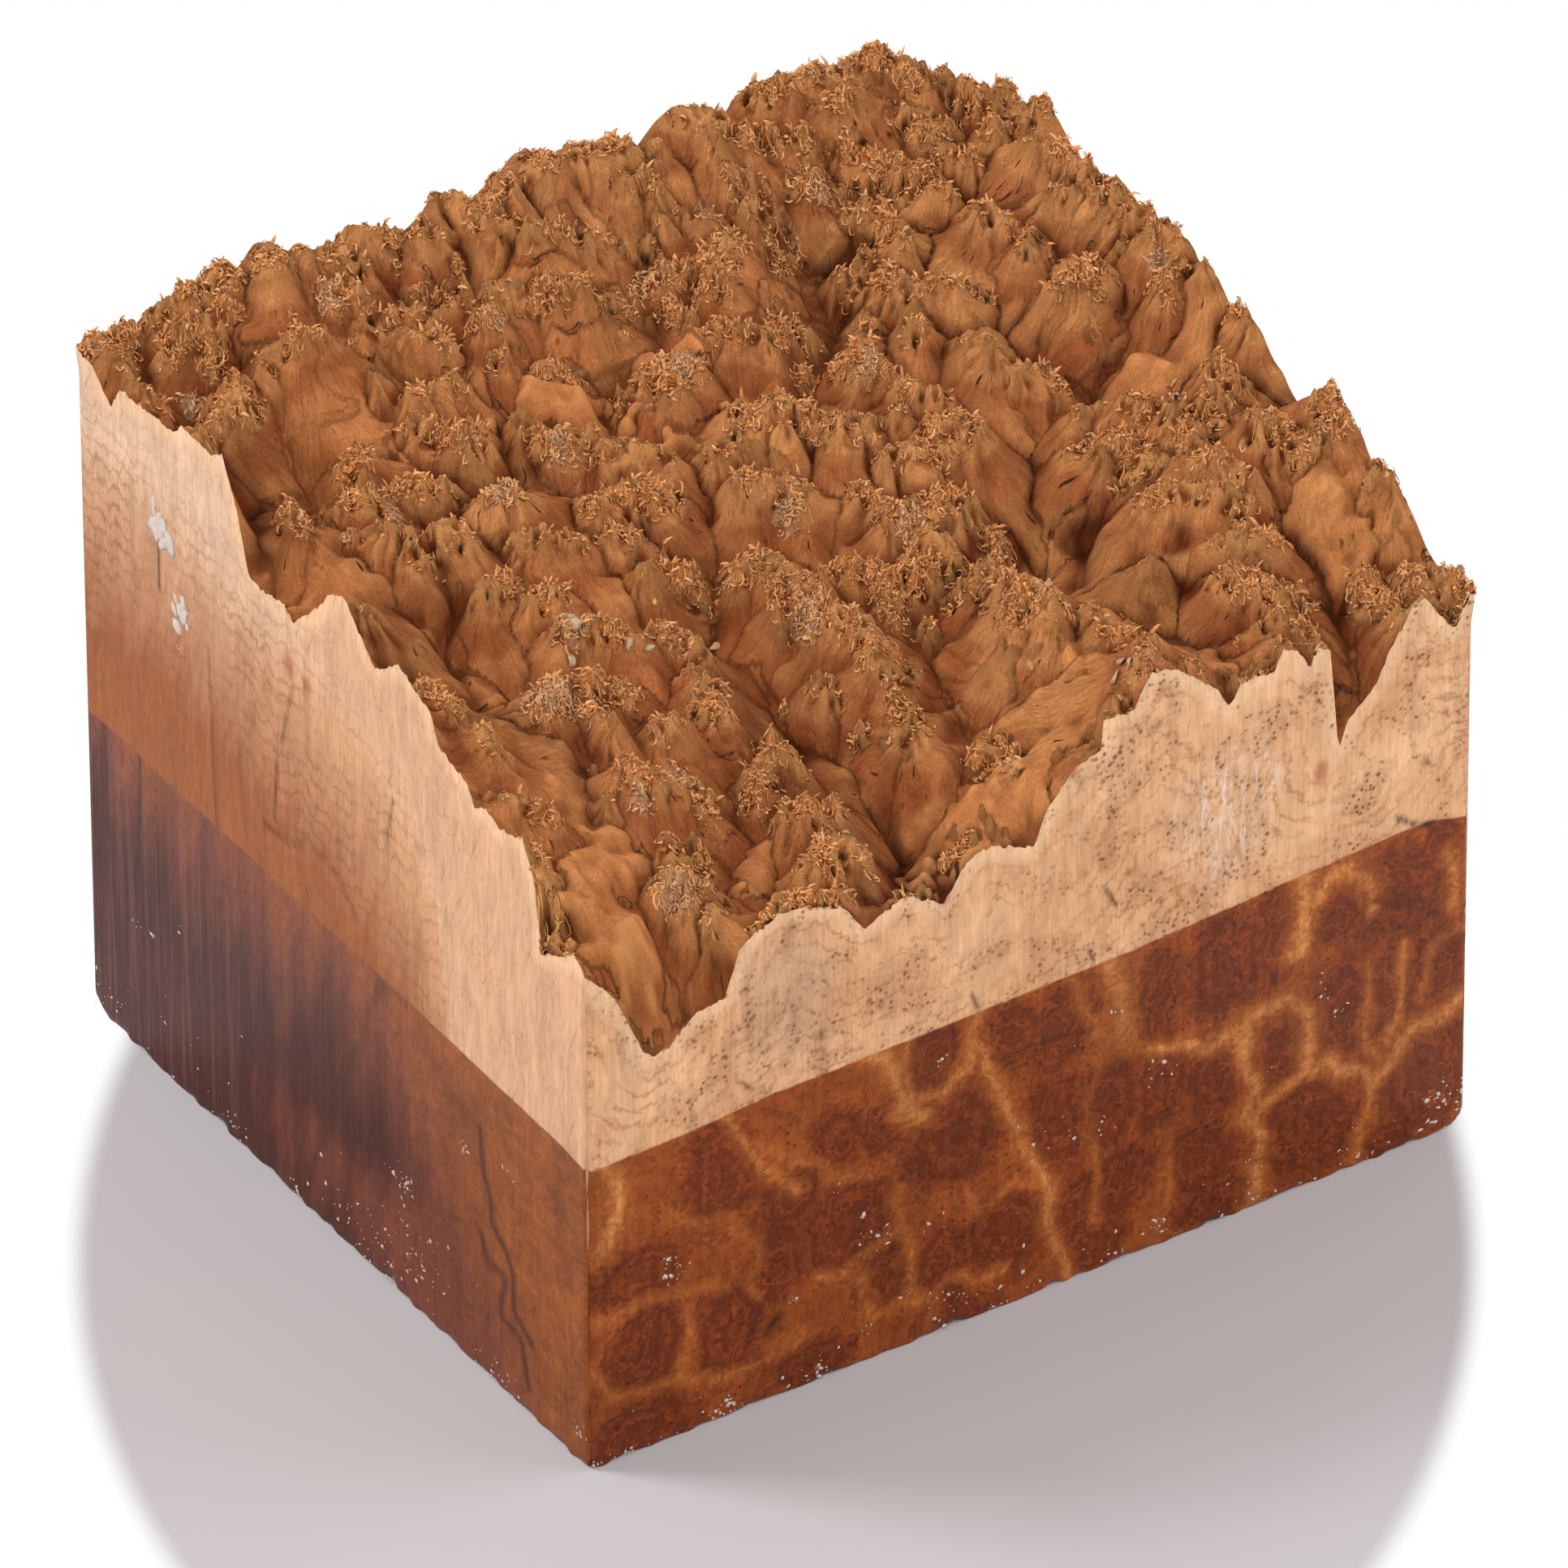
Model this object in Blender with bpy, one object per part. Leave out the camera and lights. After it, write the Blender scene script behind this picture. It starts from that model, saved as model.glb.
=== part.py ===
"""Mallee burl turning blank: a sawn block of burl wood that keeps the natural outside of the burl on top.

The block grew as one piece, so it is one solid. Four sawn faces and a sawn base carry a top of ridges,
cones and creases. That top is the highest of many crest lines, each with concave flanks like a tent's,
over a smooth general lie. Clefts are cut into it, and it runs out into the outlines of the two front faces.

Lengths are in millimetres, turned into metres as the vertices are placed. Plan positions are counted from
the left face (x) and from the front face (y).
"""

import bmesh
import bpy
import numpy as np

# Driving dimensions, in millimetres
WIDTH = 160.0
DEPTH = 142.0
CELLS_ACROSS = 74
CELLS_DEEP = 66

# The two worn bottom corners: how much is taken off, and in how many steps
LEFT_CORNER_ROUND = 4.0
RIGHT_CORNER_ROUND = 3.0
CORNER_STEPS = 2
CORNER_ROUNDNESS = 0.5

MM = 0.001
FLAT_ANGLE = 0.01

# General lie of the burl face: its height over a coarse plan, rows from left to right, values front to back
LIE_X = (0, 40, 80, 120, 160)
LIE_Y = (0, 47, 95, 142)
LIE_HEIGHTS = (
    (92, 111, 120, 123),
    (89, 102, 112, 126),
    (89, 99, 109, 126),
    (102, 105, 112, 124),
    (98, 111, 118, 116),
)

# Flanks of a crest: fall per millimetre beside the crest line at the front and at the back of the block, where
# the crests are steeper, the plan depths between which it changes, the fall far off, and the crest's bluntness
FRONT_FALL = 1.35
BACK_FALL = 2.0
FALL_CHANGE = (95, 125)
FAR_FALL = 0.5
CREST_BLUNTNESS = 1.5

# Uneven lines and flanks: the plan's bends (amount, size, the seeds across and deep) and the flanks' unevenness
# (share, size, seed)
BENDS = ((1.6, 7, 1, 3), (0.7, 3, 2, 4))
UNEVENNESS = ((0.22, 5, 6), (0.12, 2.2, 7))
LATTICE = 64

# The bottoms between the crests: depth below the general lie, its wave (height, size, seed), and the width over
# which they run into the flanks
FLOOR_DEPTH = 7.5
FLOOR_WAVE = (1.5, 12, 9)
FLOOR_BLEND = 4.0

# How far from the two front faces the top runs out into their outlines
OUTLINE_REACH = 8.0

# Small tufts strewn along the crest lines
TUFT_SEED = 5
TUFTS_EACH = 3
TUFT_SPACING = 3.0
TUFT_SPREAD = 1.3
TUFT_THINNING = 0.7
TUFT_LOWERING = 0.9
TUFT_STAND = (-0.5, 1.6)
TUFT_GIRTH = (1.2, 2.2)
TUFT_FALL = 2.6

# Outline of the burl on the left face: distance from the front corner, height
LEFT_OUTLINE = (
    (0, 92), (3, 93), (8, 91), (12, 89), (13, 100), (17, 107), (23, 105), (27, 106.5), (30, 104.5),
    (32, 108), (40, 110), (42, 115), (51, 118.5), (57.5, 113.6), (60, 116), (66, 122), (70, 120),
    (73, 116), (80.4, 108.6), (83, 110.6), (90, 109.3), (93, 110), (96, 120), (100, 128), (103, 126),
    (111, 126.7), (114, 124), (129, 123), (132, 118.3), (137, 123), (142, 124),
)

# Outline of the burl on the front face: distance from the same corner, height
FRONT_OUTLINE = (
    (0, 92), (6.5, 83.6), (10.4, 74), (12, 72.5), (15, 73), (20, 77.4), (25, 78.2), (27.7, 86.3),
    (34, 89.6), (37, 89.6), (46, 86.5), (49.7, 80.9), (57, 84), (63.8, 80), (68.3, 86), (72.3, 87),
    (80, 83.8), (82, 88.9), (87, 95.3), (92, 97), (92.5, 102), (98, 102), (101, 107.5), (105, 106.7),
    (113, 100), (115.2, 95.6), (117.5, 99.4), (123.5, 99.2), (125, 102.6), (127.4, 101.3), (129.9, 97),
    (131, 100.5), (133.6, 99), (135.2, 80), (137, 85), (142, 89.4), (144.4, 94.6), (149, 102),
    (151, 101.5), (156.2, 94.2), (158.7, 99.3), (160, 98.7),
)

# Crest lines: rise above the lie, breadth of the steep part of the flank, then the points of the line
BACK_LEFT_CRESTS = (
    (2, 5, (0, 140), (10, 141)),
    (3, 4, (14, 141), (17, 141)),
    (5, 4, (19, 141), (24, 140)),
    (6, 5, (33, 141), (31, 136)),
    (5, 3, (37, 138)),
    (4, 5, (14, 136), (22, 135)),
    (0, 3, (5, 134), (4, 128)),
    (3, 5, (16, 123), (10, 116), (3, 109)),
    (2, 3, (21, 122)),
    (5, 4, (26, 124), (31, 122)),
    (4, 5, (40, 136), (46, 133)),
    (2, 4, (38, 131), (43, 129)),
    (2, 4, (40, 125), (48, 123)),
    (5, 4, (50, 138), (53, 137)),
    (4, 4, (56, 137), (59, 135)),
    (4, 3, (63, 138)),
    (4, 3, (66, 137), (68, 134)),
    (6, 3, (74, 136)),
    (3, 4, (68, 133), (73, 131)),
    (4, 5, (57, 125)),
    (1, 4, (38, 124), (49, 119)),
    (2, 4, (36, 116)),
    (3, 5, (40, 110), (48, 109)),
    (3, 4, (57, 118), (60, 118)),
    (2, 4, (59, 113)),
    (4, 5, (62, 121), (75, 119)),
    (2, 6, (65, 111), (68, 111)),
)
BACK_CRESTS = (
    (7, 4, (81, 138)),
    (7, 5, (86, 137), (94, 135)),
    (5, 4, (91, 130)),
    (4, 4, (72, 128), (78, 126)),
    (3, 4, (83, 125), (79, 123)),
    (5, 3, (99, 133)),
    (5, 4, (94, 129), (96, 127)),
    (4, 4, (94, 123)),
    (6, 4, (107, 136), (111, 135)),
    (6, 4, (108, 132)),
    (6, 3, (113, 131)),
    (4, 4, (98, 123), (101, 122)),
    (2, 3, (91, 121)),
    (2, 5, (79, 117), (82, 116)),
    (3, 4, (86, 117), (92, 116)),
    (3, 4, (89, 108), (88, 112)),
    (6, 4, (121, 137), (129, 135), (135, 132)),
    (6, 5, (128, 131), (130, 129)),
    (5, 5, (116, 131), (123, 128)),
    (6, 4, (134, 137), (138, 137)),
    (8, 5, (140, 137), (145, 134)),
    (6, 3, (150, 133)),
    (6, 4, (151, 130), (154, 127)),
    (5, 3, (158, 126)),
    (4, 4, (140, 128), (142, 127)),
    (4, 4, (143, 123)),
    (3, 4, (131, 125), (124, 121)),
    (2, 4, (124, 125)),
    (3, 4, (108, 128), (112, 125)),
    (3, 4, (107, 122), (110, 122)),
    (3, 4, (118, 124), (121, 123)),
    (4, 5, (103, 117), (95, 114)),
    (2, 4, (111, 119), (109, 113)),
    (4, 5, (92, 103), (98, 101), (102, 103)),
    (0, 4, (106, 110)),
)
BACK_RIGHT_CRESTS = (
    (6, 5, (155, 118), (159, 116)),
    (5, 4, (150, 118)),
    (4, 5, (132, 119), (133, 116)),
    (3, 4, (141, 118), (144, 115)),
    (2, 5, (124, 117), (128, 115)),
    (1, 5, (122, 111), (115, 107)),
    (4, 5, (127, 110), (128, 105)),
    (3, 4, (133, 114), (137, 110)),
    (5, 4, (138, 102), (139, 99)),
    (6, 5, (151, 110), (153, 104), (155, 97)),
    (4, 4, (149, 100), (155, 92)),
    (3, 4, (155, 88), (158, 87)),
    (4, 5, (141, 92)),
    (1, 4, (152, 85)),
    (4, 5, (156, 81), (160, 79)),
    (4, 3, (159, 73)),
    (3, 6, (146, 84), (140, 83)),
    (2, 4, (157, 77), (152, 74)),
    (3, 4, (160, 63), (160, 60)),
    (3, 5, (120, 102), (123, 97), (128, 92)),
    (1, 4, (113, 97)),
    (2, 4, (118, 89)),
    (3, 6, (110, 92), (108, 87)),
)
MIDDLE_CRESTS = (
    (3, 5, (126, 82), (125, 78)),
    (1, 4, (125, 75), (132, 71)),
    (4, 6, (77, 102), (83, 100)),
    (1, 4, (72, 102)),
    (2, 5, (56, 97), (60, 93)),
    (2, 3, (54, 100)),
    (2, 5, (37, 107), (45, 100)),
    (1, 4, (25, 103), (29, 106)),
    (1, 4, (18, 95), (22, 95)),
    (1, 4, (26, 95), (35, 93)),
    (3, 5, (39, 86), (43, 85)),
    (2, 5, (62, 89), (68, 86)),
    (4, 6, (85, 88), (90, 84)),
    (2, 4, (93, 81), (95, 79)),
    (3, 5, (96, 77), (99, 75)),
    (2, 4, (104, 75)),
    (3, 5, (107, 70), (112, 66)),
    (2, 4, (109, 79), (112, 76)),
    (2, 5, (101, 68), (104, 67)),
    (2, 5, (101, 60), (105, 56)),
    (2, 6, (94, 61), (97, 60), (100, 50)),
    (3, 6, (77, 75), (85, 71)),
    (1, 4, (92, 67), (94, 63)),
    (1, 4, (76, 83), (81, 84)),
)
RIGHT_CRESTS = (
    (1, 4, (130, 63), (133, 63)),
    (3, 5, (135, 60), (137, 58)),
    (2, 5, (127, 56), (134, 54)),
    (3, 5, (140, 54), (141, 47)),
    (2, 4, (130, 50), (134, 47)),
    (2, 5, (151, 57), (151, 53)),
    (2, 4, (146, 51), (146, 47)),
    (3, 5, (149, 40), (151, 37)),
    (5, 4, (158, 38), (158, 34)),
    (2, 4, (156, 33), (152, 34)),
    (4, 6, (136, 41), (138, 38)),
    (3, 5, (128, 38), (135, 32)),
    (2, 5, (133, 26), (138, 23)),
    (4, 6, (158, 25), (160, 23), (159, 20)),
    (0, 5, (149, 13), (148, 8)),
    (2, 5, (155, 8), (160, 5)),
)
LOWER_LEFT_CRESTS = (
    (3, 6, (23, 82), (31, 82)),
    (1, 4, (20, 86)),
    (2, 5, (41, 78), (45, 76)),
    (1, 5, (55, 81), (64, 81)),
    (0, 4, (52, 76), (57, 74)),
    (0, 5, (55, 69), (61, 68)),
    (2, 5, (29, 72), (32, 72)),
    (2, 5, (33, 68), (37, 67)),
    (3, 6, (35, 60), (42, 56)),
    (1, 5, (49, 56), (54, 52)),
    (2, 6, (22, 48), (34, 49)),
    (0, 4, (38, 48)),
    (-1, 4, (9, 72)),
    (1, 3, (9, 94)),
    (0, 4, (9, 54), (9, 49)),
    (0, 4, (9, 42), (8, 37)),
    (0, 4, (29, 44), (30, 38)),
    (1, 5, (39, 36), (42, 37)),
    (0, 4, (48, 38), (51, 46)),
    (2, 5, (26, 30), (30, 28)),
    (0, 5, (36, 25)),
    (-1, 4, (22, 27)),
    (0, 5, (5, 29), (11, 27)),
    (0, 4, (5, 22), (5, 18)),
    (1, 5, (27, 19), (32, 17)),
    (4, 7, (24, 12), (26, 8)),
    (0, 5, (2, 13), (0, 4)),
)
LOWER_MIDDLE_CRESTS = (
    (3, 6, (69, 63), (74, 60), (73, 50), (78, 43), (77, 35), (75, 27)),
    (2, 5, (83, 55), (88, 51)),
    (2, 5, (93, 52), (94, 49)),
    (1, 4, (86, 46)),
    (2, 5, (101, 48), (100, 42)),
    (5, 8, (100, 34), (101, 26)),
    (3, 5, (106, 22), (107, 15)),
    (0, 6, (95, 27), (98, 23)),
    (0, 5, (99, 17), (102, 11)),
    (-1, 2, (120, 30)),
    (2, 5, (129, 19), (135, 14)),
    (0, 4, (128, 9), (134, 8)),
    (1, 6, (82, 11), (83, 17)),
    (-2, 5, (68, 39)),
    (0, 6, (48, 18), (53, 18)),
    (1, 6, (52, 9), (45, 8)),
    (0, 5, (54, 31), (48, 27)),
)
LIP_CRESTS = (
    (1, 5, (32, 2), (46, 2)),
    (-4, 4, (54, 1), (60, 1)),
    (-2, 5, (66, 2), (76, 2)),
    (3, 4, (88, 3), (95, 5)),
    (8, 4, (93, 1), (98, 1)),
    (9, 4, (101, 2), (106, 7)),
    (4, 4, (109, 4), (111, 1)),
    (-1, 5, (117, 1), (123, 1)),
    (1, 3, (125, 2)),
    (-1, 3, (131, 2)),
    (2, 4, (147, 2), (152, 1)),
    (1, 3, (159, 1)),
)
CREST_LINES = (BACK_LEFT_CRESTS + BACK_CRESTS + BACK_RIGHT_CRESTS + MIDDLE_CRESTS + RIGHT_CRESTS
               + LOWER_LEFT_CRESTS + LOWER_MIDDLE_CRESTS + LIP_CRESTS)

# Clefts: depth, breadth, then the points of the line
CLEFTS = (
    (13, 5, (118, 119), (113, 112), (109, 105), (103, 97)),
    (8, 5, (64, 63), (60, 44), (56, 29)),
    (7, 5, (107, 50), (90, 40), (77, 30), (65, 18), (62, 9)),
    (8, 4, (86, 115), (73, 107), (70, 114)),
    (8, 5, (136, 72), (140, 74)),
    (9, 6, (13, 107), (1, 83)),
    (8, 4, (11, 131), (14, 132)),
    (9, 4, (135, 0), (137, 5), (142, 19)),
    (8, 4, (12, 0), (22, 6), (35, 16), (43, 26)),
    (6, 4, (16, 53), (22, 68), (25, 78)),
    (5, 3, (114, 41), (121, 46), (133, 51)),
    (7, 4, (53, 128), (55, 135)),
)

# Colour and surface of the wood as a whole
WOOD_COLOUR = (0.42, 0.21, 0.09, 1.0)
WOOD_ROUGHNESS = 0.7


def ease(value, low, high):
    """0 below the low value, 1 above the high one, eased between them."""
    share = np.clip((value - low) / (high - low), 0, 1)
    return share * share * (3 - 2 * share)


def wander(x, y, size, seed):
    """Smooth seeded noise between -1 and 1: random values on a square lattice, eased between its points."""
    lattice = np.random.default_rng(seed).uniform(-1, 1, (LATTICE, LATTICE))
    u = (x + WIDTH) / size
    v = (y + DEPTH) / size
    column = np.floor(u).astype(int)
    row = np.floor(v).astype(int)
    s = ease(u - column, 0, 1)
    t = ease(v - row, 0, 1)
    left, right = column % LATTICE, (column + 1) % LATTICE
    front, back = row % LATTICE, (row + 1) % LATTICE
    near = lattice[left, front] * (1 - s) + lattice[right, front] * s
    far = lattice[left, back] * (1 - s) + lattice[right, back] * s
    return near * (1 - t) + far * t


def eased_weights(value, knots):
    """Weight of each knot at a value: 1 on the knot, eased down to 0 at its neighbours."""
    weights = []
    for index in range(len(knots)):
        peak = np.zeros(len(knots))
        peak[index] = 1.0
        weights.append(ease(np.interp(value, knots, peak), 0, 1))
    return weights


def general_lie(x, y):
    """Height of the general lie of the burl face over the plan."""
    across = eased_weights(x, LIE_X)
    deep = eased_weights(y, LIE_Y)
    height = 0.0
    for weight_x, row in zip(across, LIE_HEIGHTS):
        for weight_y, value in zip(deep, row):
            height = height + value * weight_x * weight_y
    return height


def line_segments(points):
    """Pairs of neighbouring points; a single point is a segment of no length."""
    return list(zip(points[:-1], points[1:])) or [(points[0], points[0])]


def distance_to_segment(x, y, start, end):
    """Distance to a segment in plan, and how far along it the nearest point lies."""
    run_x = end[0] - start[0]
    run_y = end[1] - start[1]
    length_squared = max(run_x ** 2 + run_y ** 2, 1e-9)
    along = np.clip(((x - start[0]) * run_x + (y - start[1]) * run_y) / length_squared, 0, 1)
    return np.hypot(x - start[0] - along * run_x, y - start[1] - along * run_y), along


def raise_crests(x, y, roughness):
    """The highest crest flank: steep beside the crest line, easing to the far fall."""
    height = np.full(x.shape, -np.inf)
    for rise, breadth, *points in CREST_LINES:
        for start, end in line_segments(points):
            distance, along = distance_to_segment(x, y, start, end)
            distance = (np.sqrt(distance ** 2 + CREST_BLUNTNESS ** 2) - CREST_BLUNTNESS) * roughness
            near_fall = FRONT_FALL + (BACK_FALL - FRONT_FALL) * ease(start[1], *FALL_CHANGE)
            start_height = general_lie(*start) + rise
            end_height = general_lie(*end) + rise
            top = start_height + (end_height - start_height) * along
            fall = FAR_FALL * distance + (near_fall - FAR_FALL) * breadth * (1 - np.exp(-distance / breadth))
            height = np.maximum(height, top - fall)
    return height


def cut_clefts(x, y, height):
    """Take the clefts out of the height, deepest on their lines."""
    for depth, breadth, *points in CLEFTS:
        share = np.zeros(x.shape)
        for start, end in line_segments(points):
            distance, _ = distance_to_segment(x, y, start, end)
            share = np.maximum(share, np.exp(-distance / breadth))
        height = height - depth * share
    return height


def strew_tufts(x, y, height):
    """Add small cones, lower the further they stand from their crest line."""
    rng = np.random.default_rng(TUFT_SEED)
    for rise, breadth, *points in CREST_LINES:
        for start, end in line_segments(points):
            length = np.hypot(end[0] - start[0], end[1] - start[1])
            for _ in range(TUFTS_EACH + int(length / TUFT_SPACING)):
                along = rng.random()
                offset = breadth * TUFT_SPREAD * rng.random() ** TUFT_THINNING
                angle = rng.uniform(0, 2 * np.pi)
                tip_x = start[0] + along * (end[0] - start[0]) + offset * np.cos(angle)
                tip_y = start[1] + along * (end[1] - start[1]) + offset * np.sin(angle)
                lowered = general_lie(tip_x, tip_y) + rise - TUFT_LOWERING * offset
                tip = lowered + rng.uniform(*TUFT_STAND)
                girth = rng.uniform(*TUFT_GIRTH)
                distance = np.hypot(x - tip_x, y - tip_y)
                cone = tip - TUFT_FALL * girth * (1 - np.exp(-distance / girth)) - distance
                height = np.maximum(height, cone)
    return height


def meet_outlines(x, y, height):
    """Run the top out into the outlines of the left and front faces."""
    left_outline = np.interp(y[0], *np.array(LEFT_OUTLINE).T)
    front_outline = np.interp(x[:, 0], *np.array(FRONT_OUTLINE).T)
    left_share = np.clip(1 - x / OUTLINE_REACH, 0, 1) ** 2
    front_share = np.clip(1 - y / OUTLINE_REACH, 0, 1) ** 2
    total = np.maximum(left_share + front_share, 1e-9)
    left_step = (left_outline - height[0])[None, :]
    front_step = (front_outline - height[:, 0])[:, None]
    step = (left_share * left_step + front_share * front_step) / total
    return height + step * np.maximum(left_share, front_share)


def burl_heights():
    """Height of the burl face on the grid of the block's plan."""
    x, y = np.meshgrid(np.linspace(0, WIDTH, CELLS_ACROSS + 1), np.linspace(0, DEPTH, CELLS_DEEP + 1),
                       indexing="ij")
    bent_x = x + sum(amount * wander(x, y, size, seed) for amount, size, seed, _ in BENDS)
    bent_y = y + sum(amount * wander(x, y, size, seed) for amount, size, _, seed in BENDS)
    roughness = 1 + sum(share * wander(x, y, size, seed) for share, size, seed in UNEVENNESS)
    crests = raise_crests(bent_x, bent_y, roughness)
    wave, wave_size, wave_seed = FLOOR_WAVE
    floor = general_lie(x, y) - FLOOR_DEPTH + wave * wander(x, y, wave_size, wave_seed)
    height = 0.5 * (crests + floor + np.sqrt((crests - floor) ** 2 + FLOOR_BLEND ** 2))
    height = cut_clefts(bent_x, bent_y, height)
    height = strew_tufts(bent_x, bent_y, height)
    return meet_outlines(x, y, height)


def clear_scene():
    """Remove every object of the scene."""
    for item in list(bpy.data.objects):
        bpy.data.objects.remove(item, do_unlink=True)


def wood_material():
    """Plain brown wood, matt."""
    material = bpy.data.materials.new("mallee wood")
    material.use_nodes = True
    shader = material.node_tree.nodes["Principled BSDF"]
    shader.inputs["Base Color"].default_value = WOOD_COLOUR
    shader.inputs["Roughness"].default_value = WOOD_ROUGHNESS
    shader.inputs["Metallic"].default_value = 0.0
    return material


def raise_grid(mesh):
    """A grid over the plan, centred on the origin, lifted to the burl's heights."""
    bmesh.ops.create_grid(mesh, x_segments=CELLS_ACROSS, y_segments=CELLS_DEEP, size=0.5)
    heights = burl_heights()
    for vertex in mesh.verts:
        column = round((vertex.co.x + 0.5) * CELLS_ACROSS)
        row = round((vertex.co.y + 0.5) * CELLS_DEEP)
        vertex.co = (vertex.co.x * WIDTH * MM, vertex.co.y * DEPTH * MM, heights[column, row] * MM)


def drop_walls(mesh):
    """Sawn walls from the lip down to the base, and the base itself, each as one flat face."""
    lip = [edge for edge in mesh.edges if edge.is_boundary]
    dropped = bmesh.ops.extrude_edge_only(mesh, edges=lip)["geom"]
    foot = [item for item in dropped if isinstance(item, bmesh.types.BMVert)]
    for vertex in foot:
        vertex.co.z = 0.0
    foot_edges = [item for item in dropped if isinstance(item, bmesh.types.BMEdge)
                  and all(vertex.co.z == 0.0 for vertex in item.verts)]
    bmesh.ops.holes_fill(mesh, edges=foot_edges, sides=0)
    upright = [edge for edge in mesh.edges
               if min(vertex.co.z for vertex in edge.verts) == 0.0 < max(vertex.co.z for vertex in edge.verts)]
    bmesh.ops.dissolve_limit(mesh, angle_limit=FLAT_ANGLE, verts=foot, edges=upright)


def round_corner(mesh, x, y, size):
    """Take off the bottom corner nearest to a plan position."""
    corners = [vertex for vertex in mesh.verts if vertex.co.z == 0.0]
    corner = min(corners, key=lambda vertex: (vertex.co.x - x) ** 2 + (vertex.co.y - y) ** 2)
    bmesh.ops.bevel(mesh, geom=[corner], offset=size * MM, segments=CORNER_STEPS,
                    profile=CORNER_ROUNDNESS, affect="VERTICES")


def build_blank():
    """The whole blank as one closed body."""
    collection = bpy.data.collections.new("mallee_burl_turning_blank")
    bpy.context.scene.collection.children.link(collection)
    mesh = bmesh.new()
    raise_grid(mesh)
    drop_walls(mesh)
    half_width = WIDTH * MM / 2
    half_depth = DEPTH * MM / 2
    round_corner(mesh, -half_width, half_depth, LEFT_CORNER_ROUND)
    round_corner(mesh, half_width, -half_depth, RIGHT_CORNER_ROUND)
    bmesh.ops.recalc_face_normals(mesh, faces=mesh.faces)
    data = bpy.data.meshes.new("burl_blank")
    mesh.to_mesh(data)
    mesh.free()
    data.materials.append(wood_material())
    blank = bpy.data.objects.new("burl_blank", data)
    collection.objects.link(blank)
    return blank


clear_scene()
build_blank()
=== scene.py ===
"""Dressed model of a mallee burl turning blank: its frayed top, its sawn and waxed sides, and a plain stage.

The block stands where its solid stands. Its top follows the same crest lines as the solid, on a finer grid,
with fibres, frayed crests and cracks added. Plan positions are in millimetres from the left sawn face (x)
and from the front sawn face (y); heights are in millimetres above the base.
"""

import math
from functools import partial

import bpy
import numpy as np
from mathutils import Matrix, Vector


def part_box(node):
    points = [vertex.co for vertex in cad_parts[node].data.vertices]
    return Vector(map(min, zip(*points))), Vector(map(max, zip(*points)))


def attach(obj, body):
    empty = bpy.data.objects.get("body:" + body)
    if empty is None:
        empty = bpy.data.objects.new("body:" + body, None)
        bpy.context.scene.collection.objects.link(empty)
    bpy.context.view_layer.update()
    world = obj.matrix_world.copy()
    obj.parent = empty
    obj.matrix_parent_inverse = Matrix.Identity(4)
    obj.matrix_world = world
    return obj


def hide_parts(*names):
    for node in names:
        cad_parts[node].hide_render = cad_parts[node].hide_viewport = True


bl_info = {
    "name": "Mallee burl turning blank",
    "version": (1, 0, 0),
    "blender": (4, 5, 0),
    "location": "View3D > Sidebar > Burl",
    "description": "Builds the dressed burl block, its frayed fibres, its wax flecks and a plain stage",
    "category": "Add Mesh",
}

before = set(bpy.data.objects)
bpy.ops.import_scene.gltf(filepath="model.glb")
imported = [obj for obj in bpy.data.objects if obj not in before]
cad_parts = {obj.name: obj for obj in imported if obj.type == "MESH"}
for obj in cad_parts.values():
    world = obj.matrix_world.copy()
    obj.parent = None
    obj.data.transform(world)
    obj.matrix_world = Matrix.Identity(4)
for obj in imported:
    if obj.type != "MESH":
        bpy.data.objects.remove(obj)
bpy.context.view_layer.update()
BLOCK_LOW, BLOCK_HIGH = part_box("burl_blank")

MM = 0.001
WIDTH = (BLOCK_HIGH[0] - BLOCK_LOW[0]) / MM
DEPTH = (BLOCK_HIGH[1] - BLOCK_LOW[1]) / MM
TOP = (BLOCK_HIGH[2] - BLOCK_LOW[2]) / MM

# The photograph's square frame and the view it was taken from
CAMERA_AZIMUTH = math.radians(-33.036)
CAMERA_ELEVATION = math.radians(35.632)
CAMERA_ROLL = math.radians(-0.243)
CAMERA_DISTANCE = 3.3561
CAMERA_LENS = 505.69
CAMERA_SENSOR = 36.0
AIM_HEIGHT = 0.055
AIM_RIGHT = 0.00133
AIM_UP = -0.00155

# Middle of the grey pool on the floor, a painted shadow before the block
SHADOW_POOL_MIDDLE = (-0.025, -0.038)

# General lie of the burl face: heights over a coarse plan, rows from left to right, values front to back
LIE_X = (0, 40, 80, 120, 160)
LIE_Y = (0, 47, 95, 142)
LIE_HEIGHTS = (
    (92, 111, 120, 123),
    (89, 102, 112, 126),
    (89, 99, 109, 126),
    (102, 105, 112, 124),
    (98, 111, 118, 116),
)

# Flanks of a crest: fall per millimetre beside the crest line at the block's front and at its back, which is
# steeper, the plan depths between which it changes, the fall far off, and the crest's bluntness
FRONT_FALL = 1.35
BACK_FALL = 2.0
FALL_CHANGE = (95, 125)
FAR_FALL = 0.5
CREST_BLUNTNESS = 0.9

# The bottoms between the crests, below the general lie, and the width over which they run into the flanks
FLOOR_DEPTH = 8.5
FLOOR_BLEND = 2.6

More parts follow.
